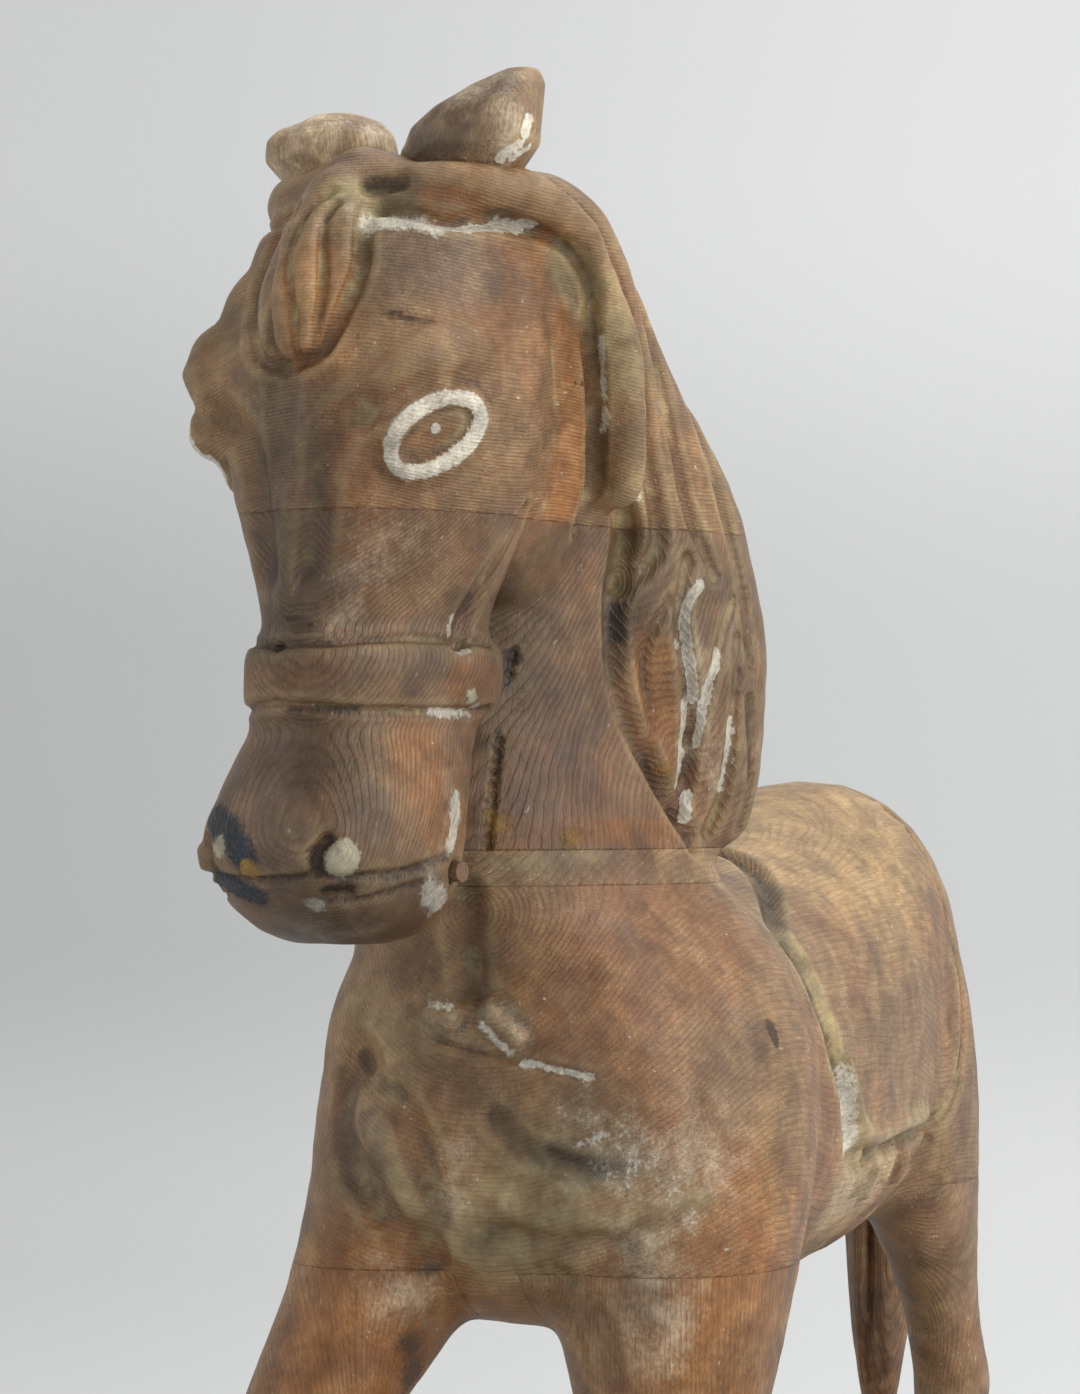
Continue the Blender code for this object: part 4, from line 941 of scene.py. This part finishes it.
class Finish:
    """A material's node tree, built from the object's own coordinates."""

    def __init__(self, name):
        self.material = bpy.data.materials.new(name)
        self.material.use_nodes = True
        self.tree = self.material.node_tree
        self.tree.nodes.clear()
        self.out = self.node("OutputMaterial")
        self.shader = self.node("BsdfPrincipled")
        self.tree.links.new(self.shader.outputs[0], self.out.inputs[0])
        self.place = self.node("TexCoord").outputs["Object"]

    def node(self, kind):
        return self.tree.nodes.new("ShaderNode" + kind)

    def put(self, socket, value):
        if isinstance(value, bpy.types.NodeSocket):
            self.tree.links.new(value, socket)
        else:
            socket.default_value = value

    def give(self, **values):
        """Feeds the shader: base_color=... reaches the socket Base Color."""
        for name, value in values.items():
            self.put(self.shader.inputs[name.replace("_", " ").title().replace("Ior", "IOR")],
                     value)

    def math(self, kind, a, b=0.0, clamp=False):
        node = self.node("Math")
        node.operation = kind
        node.use_clamp = clamp
        self.put(node.inputs[0], a)
        self.put(node.inputs[1], b)
        return node.outputs[0]

    def plus(self, a, b, clamp=False):
        return self.math("ADD", a, b, clamp)

    def times(self, a, b):
        return self.math("MULTIPLY", a, b)

    def less(self, a, b):
        return self.math("SUBTRACT", a, b)

    def vector(self, kind, a, b=(0, 0, 0)):
        node = self.node("VectorMath")
        node.operation = kind
        self.put(node.inputs[0], a)
        self.put(node.inputs[1], b)
        return node.outputs["Value" if kind in ("LENGTH", "DOT_PRODUCT") else "Vector"]

    def combined(self, x, y=0.0, z=0.0):
        node = self.node("CombineXYZ")
        for socket, value in zip(node.inputs, (x, y, z)):
            self.put(socket, value)
        return node.outputs[0]

    def noise(self, place, scale, detail=2.0, rough=0.5, colour_out=False):
        node = self.node("TexNoise")
        self.put(node.inputs["Vector"], place)
        node.inputs["Scale"].default_value = scale
        node.inputs["Detail"].default_value = detail
        node.inputs["Roughness"].default_value = rough
        return node.outputs["Color" if colour_out else 0]

    def noise_at(self, offset, scale, detail, rough):
        """Noise of its own, unlike the one at the object's origin."""
        return self.noise(self.vector("ADD", self.place, offset), scale, detail, rough)

    def between(self, value, low, high, to_low=0.0, to_high=1.0):
        node = self.node("MapRange")
        node.interpolation_type = "SMOOTHSTEP"
        self.put(node.inputs["Value"], value)
        node.inputs["From Min"].default_value = low
        node.inputs["From Max"].default_value = high
        node.inputs["To Min"].default_value = to_low
        node.inputs["To Max"].default_value = to_high
        return node.outputs["Result"]

    def mix(self, share, a, b, blend="MIX"):
        node = self.node("Mix")
        node.data_type = "RGBA"
        node.blend_type = blend
        self.put(node.inputs[0], share)
        self.put(node.inputs[6], a)
        self.put(node.inputs[7], b)
        return node.outputs[2]

    def field(self, name):
        node = self.node("Attribute")
        node.attribute_name = name
        return node.outputs["Fac"]

    def bump(self, height, distance, strength):
        node = self.node("Bump")
        node.inputs["Strength"].default_value = strength
        node.inputs["Distance"].default_value = distance
        self.put(node.inputs["Height"], height)
        return node.outputs["Normal"]


GREY_BROWN = colour(146, 115, 84)
RED_BROWN = colour(150, 103, 70)
ORANGE = colour(164, 106, 60)
VIOLET_GREY = colour(124, 104, 90)
LIMED = colour(184, 163, 126)
CREAMY_GREEN = colour(166, 152, 114)
TAN = colour(202, 168, 122)
LATE_WOOD = colour(98, 64, 44)
# the colour of painted shade in hollows and creases, and of real dark stains and knots
DARK_STAIN_AND_SHADE = colour(62, 46, 38)
WHITE_PAINT = colour(226, 220, 204)
CREAM_PAINT = colour(214, 205, 176)
TEAL_PAINT = colour(28, 52, 66)
OCHRE_PAINT = colour(178, 138, 76)
# warm and pale are the wood's own colour; the grey field is partly painted shade on faces turned
# from the light
STAINS_AND_SHADE = (("warm", ORANGE, 0.85), ("grey", VIOLET_GREY, 0.75), ("pale", TAN, 0.8))
# field, colour, where its worn edge begins and ends, how much of it the fibres still show
PAINTS = (
    ("teal", TEAL_PAINT, 0.2, 0.6, 0.55), ("ochre", OCHRE_PAINT, 0.2, 0.6, 0.45),
    ("white", WHITE_PAINT, 0.24, 0.64, 0.45), ("cream", CREAM_PAINT, 0.26, 0.52, 0.85),
)


class Pine(Finish):
    """Pine with rings about an axis through pith, and the noise that all its layers share."""

    def __init__(self, name, pith, axis, ring):
        super().__init__(name)
        axis = Vector(axis).normalized()
        side = axis.orthogonal().normalized()
        sway = self.vector("SUBTRACT", self.noise(self.place, 9.0, colour_out=True),
                           (0.5, 0.5, 0.5))
        swayed = self.vector("ADD", self.vector("SUBTRACT", self.place, tuple(pith)),
                             self.vector("MULTIPLY", sway, (0.016, 0.016, 0.016)))
        self.across, self.over, self.along = (
            self.vector("DOT_PRODUCT", swayed, tuple(way))
            for way in (side, axis.cross(side), axis))
        self.late = self.late_wood(ring)
        self.fibre = self.noise(self.stretched(1500.0, 70.0), 1.0, 3.0, 0.6)
        self.streak = self.between(self.fibre, 0.35, 0.68)
        self.broad = self.noise(self.place, 14.0, 3.0, 0.6)
        self.patch = self.noise_at((3.1, 0.7, 1.9), 26.0, 4.0, 0.62)
        self.mottle = self.noise_at((7.3, 2.2, 5.1), 95.0, 4.0, 0.65)
        self.fine = self.noise_at((1.3, 6.2, 2.1), 620.0, 3.0, 0.6)
        self.ragged = self.plus(self.times(self.less(self.mottle, 0.5), 1.3),
                                self.times(self.less(self.fine, 0.5), 0.9))

    def stretched(self, fine, long):
        """Places whose noise is drawn out along the grain."""
        return self.combined(self.times(self.across, fine), self.times(self.over, fine),
                             self.times(self.along, long))

    def late_wood(self, ring):
        """The dark late wood of rings of uneven width."""
        radius = self.math("SQRT", self.plus(self.times(self.across, self.across),
                                             self.times(self.over, self.over)))
        uneven = self.noise(self.combined(self.times(radius, 90.0)), 1.0)
        count = self.plus(self.math("DIVIDE", radius, ring), self.times(uneven, 2.6))
        count = self.plus(count, self.times(self.noise(self.place, 220.0), 0.35))
        phase = self.math("FRACT", count)
        return self.times(self.between(phase, 0.35, 0.8), self.between(phase, 0.86, 0.99, 1.0, 0.0))

    def bare_wood(self, tone, grey):
        lean = 0.2 * (tone - 0.5)
        base = self.mix(self.between(self.broad, 0.42 - lean, 0.66 - lean), GREY_BROWN, RED_BROWN)
        base = self.mix(self.times(self.between(self.patch, 0.5, 0.7), 0.55), base, VIOLET_GREY)
        if grey:
            base = self.mix(grey, base, VIOLET_GREY)
        for field, tint, most in STAINS_AND_SHADE:
            there = self.between(self.field(field), 0.0, 0.55)
            base = self.mix(self.times(there, most), base, tint)
        return base

    def limed(self, base, wash, bold):
        """Late wood stands darker, and the early wood holds the lime."""
        shown = self.between(self.patch, 0.38, 0.6, 1.25 * bold, 0.55 * bold)
        base = self.mix(self.times(self.late, shown), base, LATE_WOOD)
        early = self.less(1.0, self.times(self.late, min(1.0, 2.6 * bold)))
        hold = self.times(early, self.between(self.mottle, 0.36, 0.66, 0.25, 1.0))
        lime = self.times(hold, self.times(self.between(self.patch, 0.3, 0.66, 1.0, 0.45), wash))
        lime = self.times(lime, self.between(self.streak, 0.0, 1.0, 0.55, 1.0))
        base = self.mix(lime, base, LIMED)
        base = self.mix(self.times(self.less(1.0, self.streak), 0.38), base, LATE_WOOD)
        green = self.times(self.between(self.field("green"), 0.05, 0.6),
                           self.between(self.mottle, 0.3, 0.62, 0.25, 0.8))
        return self.mix(green, base, CREAMY_GREEN)

    def scratched(self, base):
        """Scratches and flecks left by the old paint."""
        fleck = self.between(self.noise(self.stretched(520.0, 190.0), 1.0, 3.0, 0.6), 0.69, 0.735)
        fleck = self.times(fleck, self.between(self.broad, 0.35, 0.6, 0.4, 1.0))
        base = self.mix(self.times(fleck, 0.7), base, WHITE_PAINT)
        grit = self.between(self.noise(self.place, 1500.0, 3.0, 0.65), 0.4, 0.62)
        grit = self.times(grit, self.between(self.patch, 0.35, 0.6, 0.22, 0.08))
        return self.mix(grit, base, LIMED)

    def shaded_and_handled(self, base):
        """Hollows get painted shade and lime; proud edges are rubbed pale and given a painted
        highlight.
        """
        proud = self.field("proud")
        # hollows: painted shade where the patch noise is low, green-cream lime where it is high
        sunk = self.times(self.between(proud, -0.06, -0.3),
                          self.between(self.mottle, 0.4, 0.6, 0.2, 0.75))
        base = self.mix(sunk, base, self.mix(self.between(self.patch, 0.42, 0.58), DARK_STAIN_AND_SHADE,
                                             CREAMY_GREEN))
        # proud edges lighten: rubbed wear together with a painted highlight
        base = self.mix(self.times(self.between(proud, 0.05, 0.25), 0.3), base, LIMED)
        # the dark field: painted shade in grooves, creases and hollows, and real dark marks such as
        # a knot and the hooves
        dark = self.between(self.plus(self.field("dark"), self.times(self.ragged, 0.8)), 0.3, 0.85)
        dark = self.times(dark, self.between(self.field("dark"), 0.0, 0.12))
        base = self.mix(self.times(dark, 0.85), base, DARK_STAIN_AND_SHADE)
        haze = self.plus(self.times(self.field("haze"), 0.55), self.times(self.ragged, 0.8))
        haze = self.times(self.between(haze, 0.1, 0.75),
                          self.between(self.field("haze"), 0.0, 0.35))
        haze = self.times(haze, self.between(self.fibre, 0.3, 0.62, 0.35, 0.85))
        return self.mix(self.times(haze, 0.62), base, self.mix(0.45, WHITE_PAINT, LIMED))

    def painted(self, base):
        """The last of the thick paint: the colour under it, and where it lies."""
        thick = 0.0
        for field, paint, low, high, least in PAINTS:
            edge = self.plus(self.field(field), self.times(self.ragged, 0.85))
            there = self.times(self.between(edge, low, high),
                               self.between(self.field(field), 0.0, 0.22))
            worn = self.between(self.plus(self.fibre, self.times(self.fine, 0.8)), 0.62, 1.05,
                                least, 1.0)
            base = self.mix(self.times(there, worn), base, paint)
            thick = self.math("MAXIMUM", thick, there)
        return base, thick

    def darkened(self, base, dim):
        """Broad and fine differences in depth over the finished colour, and painted shade in
        creases.
        """
        depth = self.between(self.noise_at((5.5, 1.4, 8.8), 48.0, 5.0, 0.7), 0.3, 0.7,
                             0.64 * dim, 1.24 * dim)
        depth = self.times(depth, self.between(self.mottle, 0.3, 0.7, 0.86, 1.12))
        # painted shade: grooves, overhangs, the nose's front face and the underside of the muzzle
        # darken
        depth = self.times(depth, self.between(self.field("shade_and_tone"), 0.0, 0.7, 1.0, 0.62))
        rich = self.node("HueSaturation")
        rich.inputs["Saturation"].default_value = 1.07
        self.put(rich.inputs["Color"], base)
        return self.mix(1.0, rich.outputs[0], self.combined(depth, depth, depth), "MULTIPLY")


def pine(name, pith, axis, ring=0.0015, tone=0.5, wash=0.55, grey=0.0, rough=0.47, bold=0.4,
         dim=1.0):
    """Stripped and limed pine: rings about an axis through pith, proud late wood, worn paint,
    painted shade.

    tone runs from grey-brown to red-brown, wash is how much lime is left in the grain,
    bold how dark the late wood stands, and dim how dark the whole block is made.
    """
    f = Pine(name, pith, axis, ring)
    base = f.shaded_and_handled(f.scratched(f.limed(f.bare_wood(tone, grey), wash, bold)))
    base, thick = f.painted(base)
    sheen = f.plus(f.times(f.mottle, 0.22), rough - 0.14)
    relief = f.plus(f.times(f.late, 1.4 * bold), f.times(f.fibre, 0.75))
    relief = f.plus(relief, f.times(f.mottle, 0.9))
    relief = f.plus(relief, f.times(thick, 0.9))
    f.give(base_color=f.darkened(base, dim), specular_ior_level=0.42,
           roughness=f.plus(sheen, f.times(thick, 0.14), clamp=True),
           normal=f.bump(relief, 0.00048, 0.9))
    return f.material


def iron(name, tint, rough, rust):
    """Old iron: dark, with a little rust in patches."""
    f = Finish(name)
    pits = f.noise(f.place, 900.0, 4.0, 0.6)
    bloom = f.noise(f.place, 160.0, 4.0, 0.65)
    there = f.times(f.between(bloom, 0.46, 0.64), rust)
    rusty = f.mix(pits, colour(96, 54, 34), colour(136, 84, 52))
    f.give(base_color=f.mix(there, tint, rusty), metallic=f.less(1.0, f.times(there, 0.9)),
           roughness=f.plus(f.times(pits, 0.25), rough), normal=f.bump(pits, 0.00012, 0.8))
    return f.material


# ---------------------------------------------------------------- other pieces
def wear(obj, depth, scale):
    """Dents and soft edges of an old board: a slow uneven draw along the normals."""
    co = points_of(obj.data)
    push = np.array([noise.noise(Vector(p) * scale) for p in co]) * depth - depth
    set_points(obj.data, co + normals_of(obj.data) * push[:, None])


def softened(node, grain, rounds, depth=0.00015, scale=120.0):
    """A fine worn copy of a CAD node, a hair inside it."""
    obj = copies_joined("worn_" + node, [node])
    refined(obj, grain, rounds)
    wear(obj, depth, scale)
    return obj


def place_piece(obj, body, node, material):
    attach(obj, body)
    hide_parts(node)
    obj.data.materials.clear()
    obj.data.materials.append(material)
    obj.data.polygons.foreach_set("use_smooth", [True] * len(obj.data.polygons))
    obj.data.update()
    return obj


EAR_STROKES = (  # the hollow of the ear and the crease beside it
    ([(0.036, 0.123, 0.744), (0.0395, 0.116, 0.757)], 0.0085, 0.0018),
    ([(0.018, 0.124, 0.735), (0.024, 0.122, 0.748)], 0.004, 0.001),
)
EAR_FOOT_Z, EAR_FOOT_IN, EAR_FOOT_EASE = 0.736, 0.011, 0.018


def ear_piece(node, side):
    """An ear whose foot draws in under the hair."""
    ear = softened(node, FINE * 0.8, 14)
    tool = Carver(ear)
    tool.strokes(head_point, EAR_STROKES, (side,))
    tool.settle()
    outward = head_point(side, 0, 0) - head_point(0, 0, 0)
    sunk = np.clip((EAR_FOOT_Z - tool.co[:, 2]) / EAR_FOOT_EASE, 0, 1) * EAR_FOOT_IN
    set_points(tool.mesh, tool.co - sunk[:, None] * np.array(outward))
    tool.begin()
    store(tool.mesh, fields_on(tool, EAR_MARKS_AND_SHADE))
    return ear


TAIL_LOCKS = ((-0.9, 0.0017), (-0.35, 0.0013), (0.25, 0.0017), (0.8, 0.0014))  # lean, depth
TAIL_POINTS, LOCK_W, LOCK_SWING = 9, 0.0034, 0.55


def tail_piece():
    """The tail, cut into locks that wind slowly down it."""
    tail = softened("tail", FINE, 14)
    tool = Carver(tail)
    low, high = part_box("tail")
    middle, half = (low + high) / 2, (high - low) / 2
    for face in (-1, 1):
        for lean, depth in TAIL_LOCKS:
            points = []
            for k in range(TAIL_POINTS):
                share = k / (TAIL_POINTS - 1)
                up = high.z - 0.016 - share * (high.z - low.z - 0.03)
                swing = lean + LOCK_SWING * math.sin(share * 5.0 + lean * 2.0)
                points.append((half.x * swing, CHEST_Y - middle.y - face * half.y, up))
            tool.stroke(body_point, points, LOCK_W, depth)
    tool.settle()
    return tail


def turned(name, profile, middle, points=112):
    """A piece turned about the X axis. profile runs round its section: along, radius."""
    work = bmesh.new()
    turns = [2 * math.pi * k / points for k in range(points)]
    rings = [[work.verts.new(middle + Vector((along, radius * math.cos(t), radius * math.sin(t))))
              for t in turns] for along, radius in profile]
    joined_rings(work, rings + rings[:1])
    bmesh.ops.recalc_face_normals(work, faces=work.faces[:])
    return built(name, work)


def eased(corners, ease=0.0008, steps=3):
    """A closed outline with its corners rounded."""
    out = []
    for k, here in enumerate(corners):
        here = Vector(here)
        back, ahead = Vector(corners[k - 1]), Vector(corners[(k + 1) % len(corners)])
        near = here + (back - here).normalized() * min(ease, (back - here).length * 0.45)
        far = here + (ahead - here).normalized() * min(ease, (ahead - here).length * 0.45)
        for s in range(steps + 1):
            t = s / steps
            out.append(tuple(near * (1 - t) ** 2 + here * 2 * t * (1 - t) + far * t * t))
    return out


RIM_HALF = 0.0098  # half the width of a wheel's rim


def wheel_piece(node, bore):
    """A turned wheel with a shallow dish, a raised rim and a hub, the size of the CAD wheel."""
    low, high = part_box(node)
    middle = (low + high) / 2
    half, radius = (high.x - low.x) / 2, (high.z - low.z) / 2
    one_side = [
        (-half, bore), (-half, 0.0125), (-RIM_HALF + 0.0022, 0.014), (-RIM_HALF + 0.0026, 0.03),
        (-RIM_HALF + 0.0006, 0.031), (-RIM_HALF, 0.0325), (-RIM_HALF, 0.0375),
        (-RIM_HALF + 0.0022, radius),
    ]
    section = one_side + [(-along, out) for along, out in one_side[::-1]]
    return turned("turned_" + node, eased(section), middle)


# ---------------------------------------------------------------- build
form = fused_form()
tool = Carver(form)
carve_head(tool)
carve_body(tool)
rough_cut(tool)
values = fields_on(tool, MARKS_AND_SHADE)
parts = parted(form)

HEAD_AHEAD = head_point(0, 1, 0) - head_point(0, 0, 0)
NECK_AXIS = HEAD_AHEAD * 0.42 - UP * 0.9
looks = {
    "head_top_block": pine("pine_face", head_point(0.012, 0, 0.535), HEAD_AHEAD, 0.00115,
                           tone=0.5, wash=0.45, bold=0.26),
    "head_neck_block": pine("pine_neck", head_point(-0.12, -0.16, 0.56), NECK_AXIS, 0.0012,
                            tone=0.55, wash=0.3, grey=0.14, bold=0.3, dim=0.78),
    "neck_board": pine("pine_neck_board", head_point(0, 0, 0.42), (1, 0, 0), 0.0024,
                       tone=0.1, wash=0.75, bold=0.22),
    "body_block": pine("pine_body", body_point(0.004, 0, 0.486), (0, 1, 0), 0.00175,
                       tone=0.6, wash=0.5, bold=0.2),
    "foreleg_left": pine("pine_foreleg_left", body_point(0.01, 0.08, 0.3), (0.05, 0, 1),
                         0.0016, tone=0.7, wash=0.5, bold=0.2),
    "foreleg_right": pine("pine_foreleg_right", body_point(-0.01, 0.08, 0.3), (0.3, -0.3, -1),
                          0.0016, tone=0.8, wash=0.5, bold=0.2),
    "hindleg_left": pine("pine_hindleg_left", body_point(0.01, -0.25, 0.3), (0, 0.2, 1),
                         0.0016, tone=0.5, wash=0.45, grey=0.2, bold=0.2),
    "hindleg_right": pine("pine_hindleg_right", body_point(-0.07, -0.24, 0.3), (0, 0.2, 1),
                          0.0016, tone=0.5, wash=0.45, grey=0.2, bold=0.2),
    "ear_left": pine("pine_ear_left", head_point(0.02, 0.04, 0.73), (0.2, 0.1, 1), 0.0022,
                     tone=0.3, wash=0.85, grey=0.4, bold=0.1),
    "ear_right": pine("pine_ear_right", head_point(-0.02, 0.04, 0.73), (-0.2, 0.1, 1),
                      0.0022, tone=0.3, wash=1.6, grey=0.1, bold=0.1, dim=1.4),
    "tail": pine("pine_tail", body_point(0.02, -0.3, 0.4), (0, 0.1, 1), 0.0016,
                 tone=0.5, wash=0.45, grey=0.2),
    "board": pine("board_wood", (0.03, 0, -0.02), (0, 1, 0), 0.0026, tone=0.3, wash=0.3,
                  grey=0.45, rough=0.64),
    "bearer": pine("bearer_wood", (0, 0.02, 0.02), (1, 0, 0), 0.0024, tone=0.3, wash=0.28,
                   grey=0.45, rough=0.64),
    "wheel": pine("wheel_wood", (0, 0, 0.1), (0, 1, 0), 0.0022, tone=0.6, wash=0.28,
                  grey=0.25, rough=0.58),
    "peg": pine("peg_wood", (0, 0, 0.55), (1, 0, 0), 0.0016, tone=0.3, wash=0.1, grey=0.6,
                dim=0.66),
    "iron": iron("old_iron", colour(92, 86, 82), 0.42, 0.8),
}

skin = KDTree(len(tool.co))
for number, point in enumerate(tool.co):
    skin.insert(point, number)
skin.balance()
for name, piece in parts.items():
    index = np.array([skin.find(point)[1] for point in points_of(piece.data)])
    store(piece.data, {field: column[index] for field, column in values.items()})
    place_piece(piece, BODY, name, looks[name])
bpy.data.objects.remove(form)

for side, node in ((1, "ear_left"), (-1, "ear_right")):
    place_piece(ear_piece(node, side), BODY, node, looks[node])
place_piece(tail_piece(), BODY, "tail", looks["tail"])

for node, look, grain in (("platform_board", "board", 0.0026),
                          ("axle_bearer_front", "bearer", 0.0016),
                          ("axle_bearer_rear", "bearer", 0.0016)):
    place_piece(softened(node, grain, 3, 0.0003, 45.0), BODY, node, looks[look])
axle_low, axle_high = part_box("axle_front")
bore = (axle_high.z - axle_low.z) / 2 + 0.0001
for node in nodes:
    if node.startswith("wheel_"):
        place_piece(wheel_piece(node, bore), node + "_body", node, looks["wheel"])


def restyled(node, look):
    nodes[node].data.materials.clear()
    nodes[node].data.materials.append(look)


for node in nodes:
    if "screw" in node or node.startswith(("axle_front", "axle_rear", "linch", "washer", "pull")):
        restyled(node, looks["iron"])
    elif "dowel" in node or "peg" in node:
        restyled(node, looks["peg"])

# ---------------------------------------------------------------- floor, light, camera
STAGE_R, STAGE_EASE_R, STAGE_HIGH = 4.2, 1.1, 4.6
STAGE_STEPS, STAGE_SIDES = 18, 96
GLOW_FLOOR = 0.12
GLOW_NEAR, GLOW_LEFT, GLOW_RIGHT, GLOW_HIGH = 0.1, 0.16, 0.345, 0.14  # the paper's own light
VIEW_TURN = math.radians(24.0)  # how far round from the horse's front the camera stands


def bowl_outline():
    """The paper's section from its middle out and up, as (radius, up)."""
    flat_r = STAGE_R - STAGE_EASE_R
    turns = [math.pi / 2 * k / STAGE_STEPS for k in range(1, STAGE_STEPS + 1)]
    return [(0.001, 0.0), (flat_r, 0.0),
            *((flat_r + STAGE_EASE_R * math.sin(t), STAGE_EASE_R - STAGE_EASE_R * math.cos(t))
              for t in turns),
            (STAGE_R, STAGE_HIGH)]


def paper():
    """Plain paper that glows a little, more to the right, above and on the far floor."""
    f = Finish("paper")
    along = f.vector("DOT_PRODUCT", f.place, (math.cos(VIEW_TURN), math.sin(VIEW_TURN), 0))
    apart = f.node("SeparateXYZ")
    f.put(apart.inputs[0], f.place)
    up = apart.outputs[2]
    away = f.vector("LENGTH", f.vector("MULTIPLY", f.place, (1, 1, 0)))
    glow = f.between(along, -0.9, 0.8, GLOW_LEFT, GLOW_RIGHT)
    glow = f.plus(glow, f.between(up, 0.7, 1.4, 0.0, GLOW_HIGH))
    glow = f.plus(glow, f.between(up, 0.35, 0.0, 0.0, GLOW_FLOOR))
    far = f.between(away, 0.9, 2.2)
    glow = f.plus(f.times(glow, far), f.times(f.less(1.0, far), GLOW_NEAR))
    f.give(base_color=colour(186, 187, 188), roughness=0.9, specular_ior_level=0.1,
           emission_color=(1, 0.995, 0.985, 1), emission_strength=glow)
    return f.material


def paper_bowl():
    """A plain floor that curves up all round into a plain wall."""
    work = bmesh.new()
    turns = [2 * math.pi * k / STAGE_SIDES for k in range(STAGE_SIDES)]
    joined_rings(work, [
        [work.verts.new((radius * math.cos(t), radius * math.sin(t), up)) for t in turns]
        for radius, up in bowl_outline()])
    stage = built("paper_bowl", work)
    stage.data.polygons.foreach_set("use_smooth", [True] * len(stage.data.polygons))
    stage.data.materials.append(paper())
    return stage


def area_light(name, place, target, size, power, tint=(1, 1, 1)):
    lamp = bpy.data.lights.new(name, "AREA")
    lamp.shape = "RECTANGLE"
    lamp.size, lamp.size_y = size
    lamp.energy = power
    lamp.color = tint
    made = link(name, lamp)
    made.location = place
    made.rotation_euler = (Vector(target) - Vector(place)).to_track_quat("-Z", "Y").to_euler()
    return made


paper_bowl()
MIDDLE = (0.0, CHEST_Y, 0.45)
area_light("window", (2.4, -0.25, 1.5), MIDDLE, (1.5, 1.5), 34, (1.0, 0.985, 0.96))
area_light("overhead", (0.3, 0.3, 2.4), MIDDLE, (2.0, 2.0), 26, (0.98, 0.99, 1.0))
area_light("fill", (-1.9, -1.3, 1.2), MIDDLE, (1.6, 1.6), 6, (0.97, 0.98, 1.0))

scene = bpy.context.scene
scene.view_settings.view_transform = "Standard"
scene.view_settings.look = "None"
world = bpy.data.worlds.new("room")
world.use_nodes = True
sky = world.node_tree.nodes["Background"]
sky.inputs["Color"].default_value = colour(214, 218, 222)
sky.inputs["Strength"].default_value = 0.22
scene.world = world

VIEW_DISTANCE = 1.45
VIEW_ASIDE = -0.014
VIEW_HEIGHT = 0.524
VIEW_RISE = math.radians(1.36)
SENSOR = 36.0
LENS = 107.0
ahead = Vector((-math.sin(VIEW_TURN), math.cos(VIEW_TURN), 0))
aside = Vector((math.cos(VIEW_TURN), math.sin(VIEW_TURN), 0))
lens = bpy.data.cameras.new("camera")
lens.sensor_width = SENSOR
lens.lens = LENS
camera = link("camera", lens)
camera.location = (Vector((0, CHEST_Y, VIEW_HEIGHT)) - ahead * VIEW_DISTANCE
                   + aside * VIEW_ASIDE)
look = ahead * math.cos(VIEW_RISE) + UP * math.sin(VIEW_RISE)
camera.rotation_euler = look.to_track_quat("-Z", "Y").to_euler()
scene.camera = camera
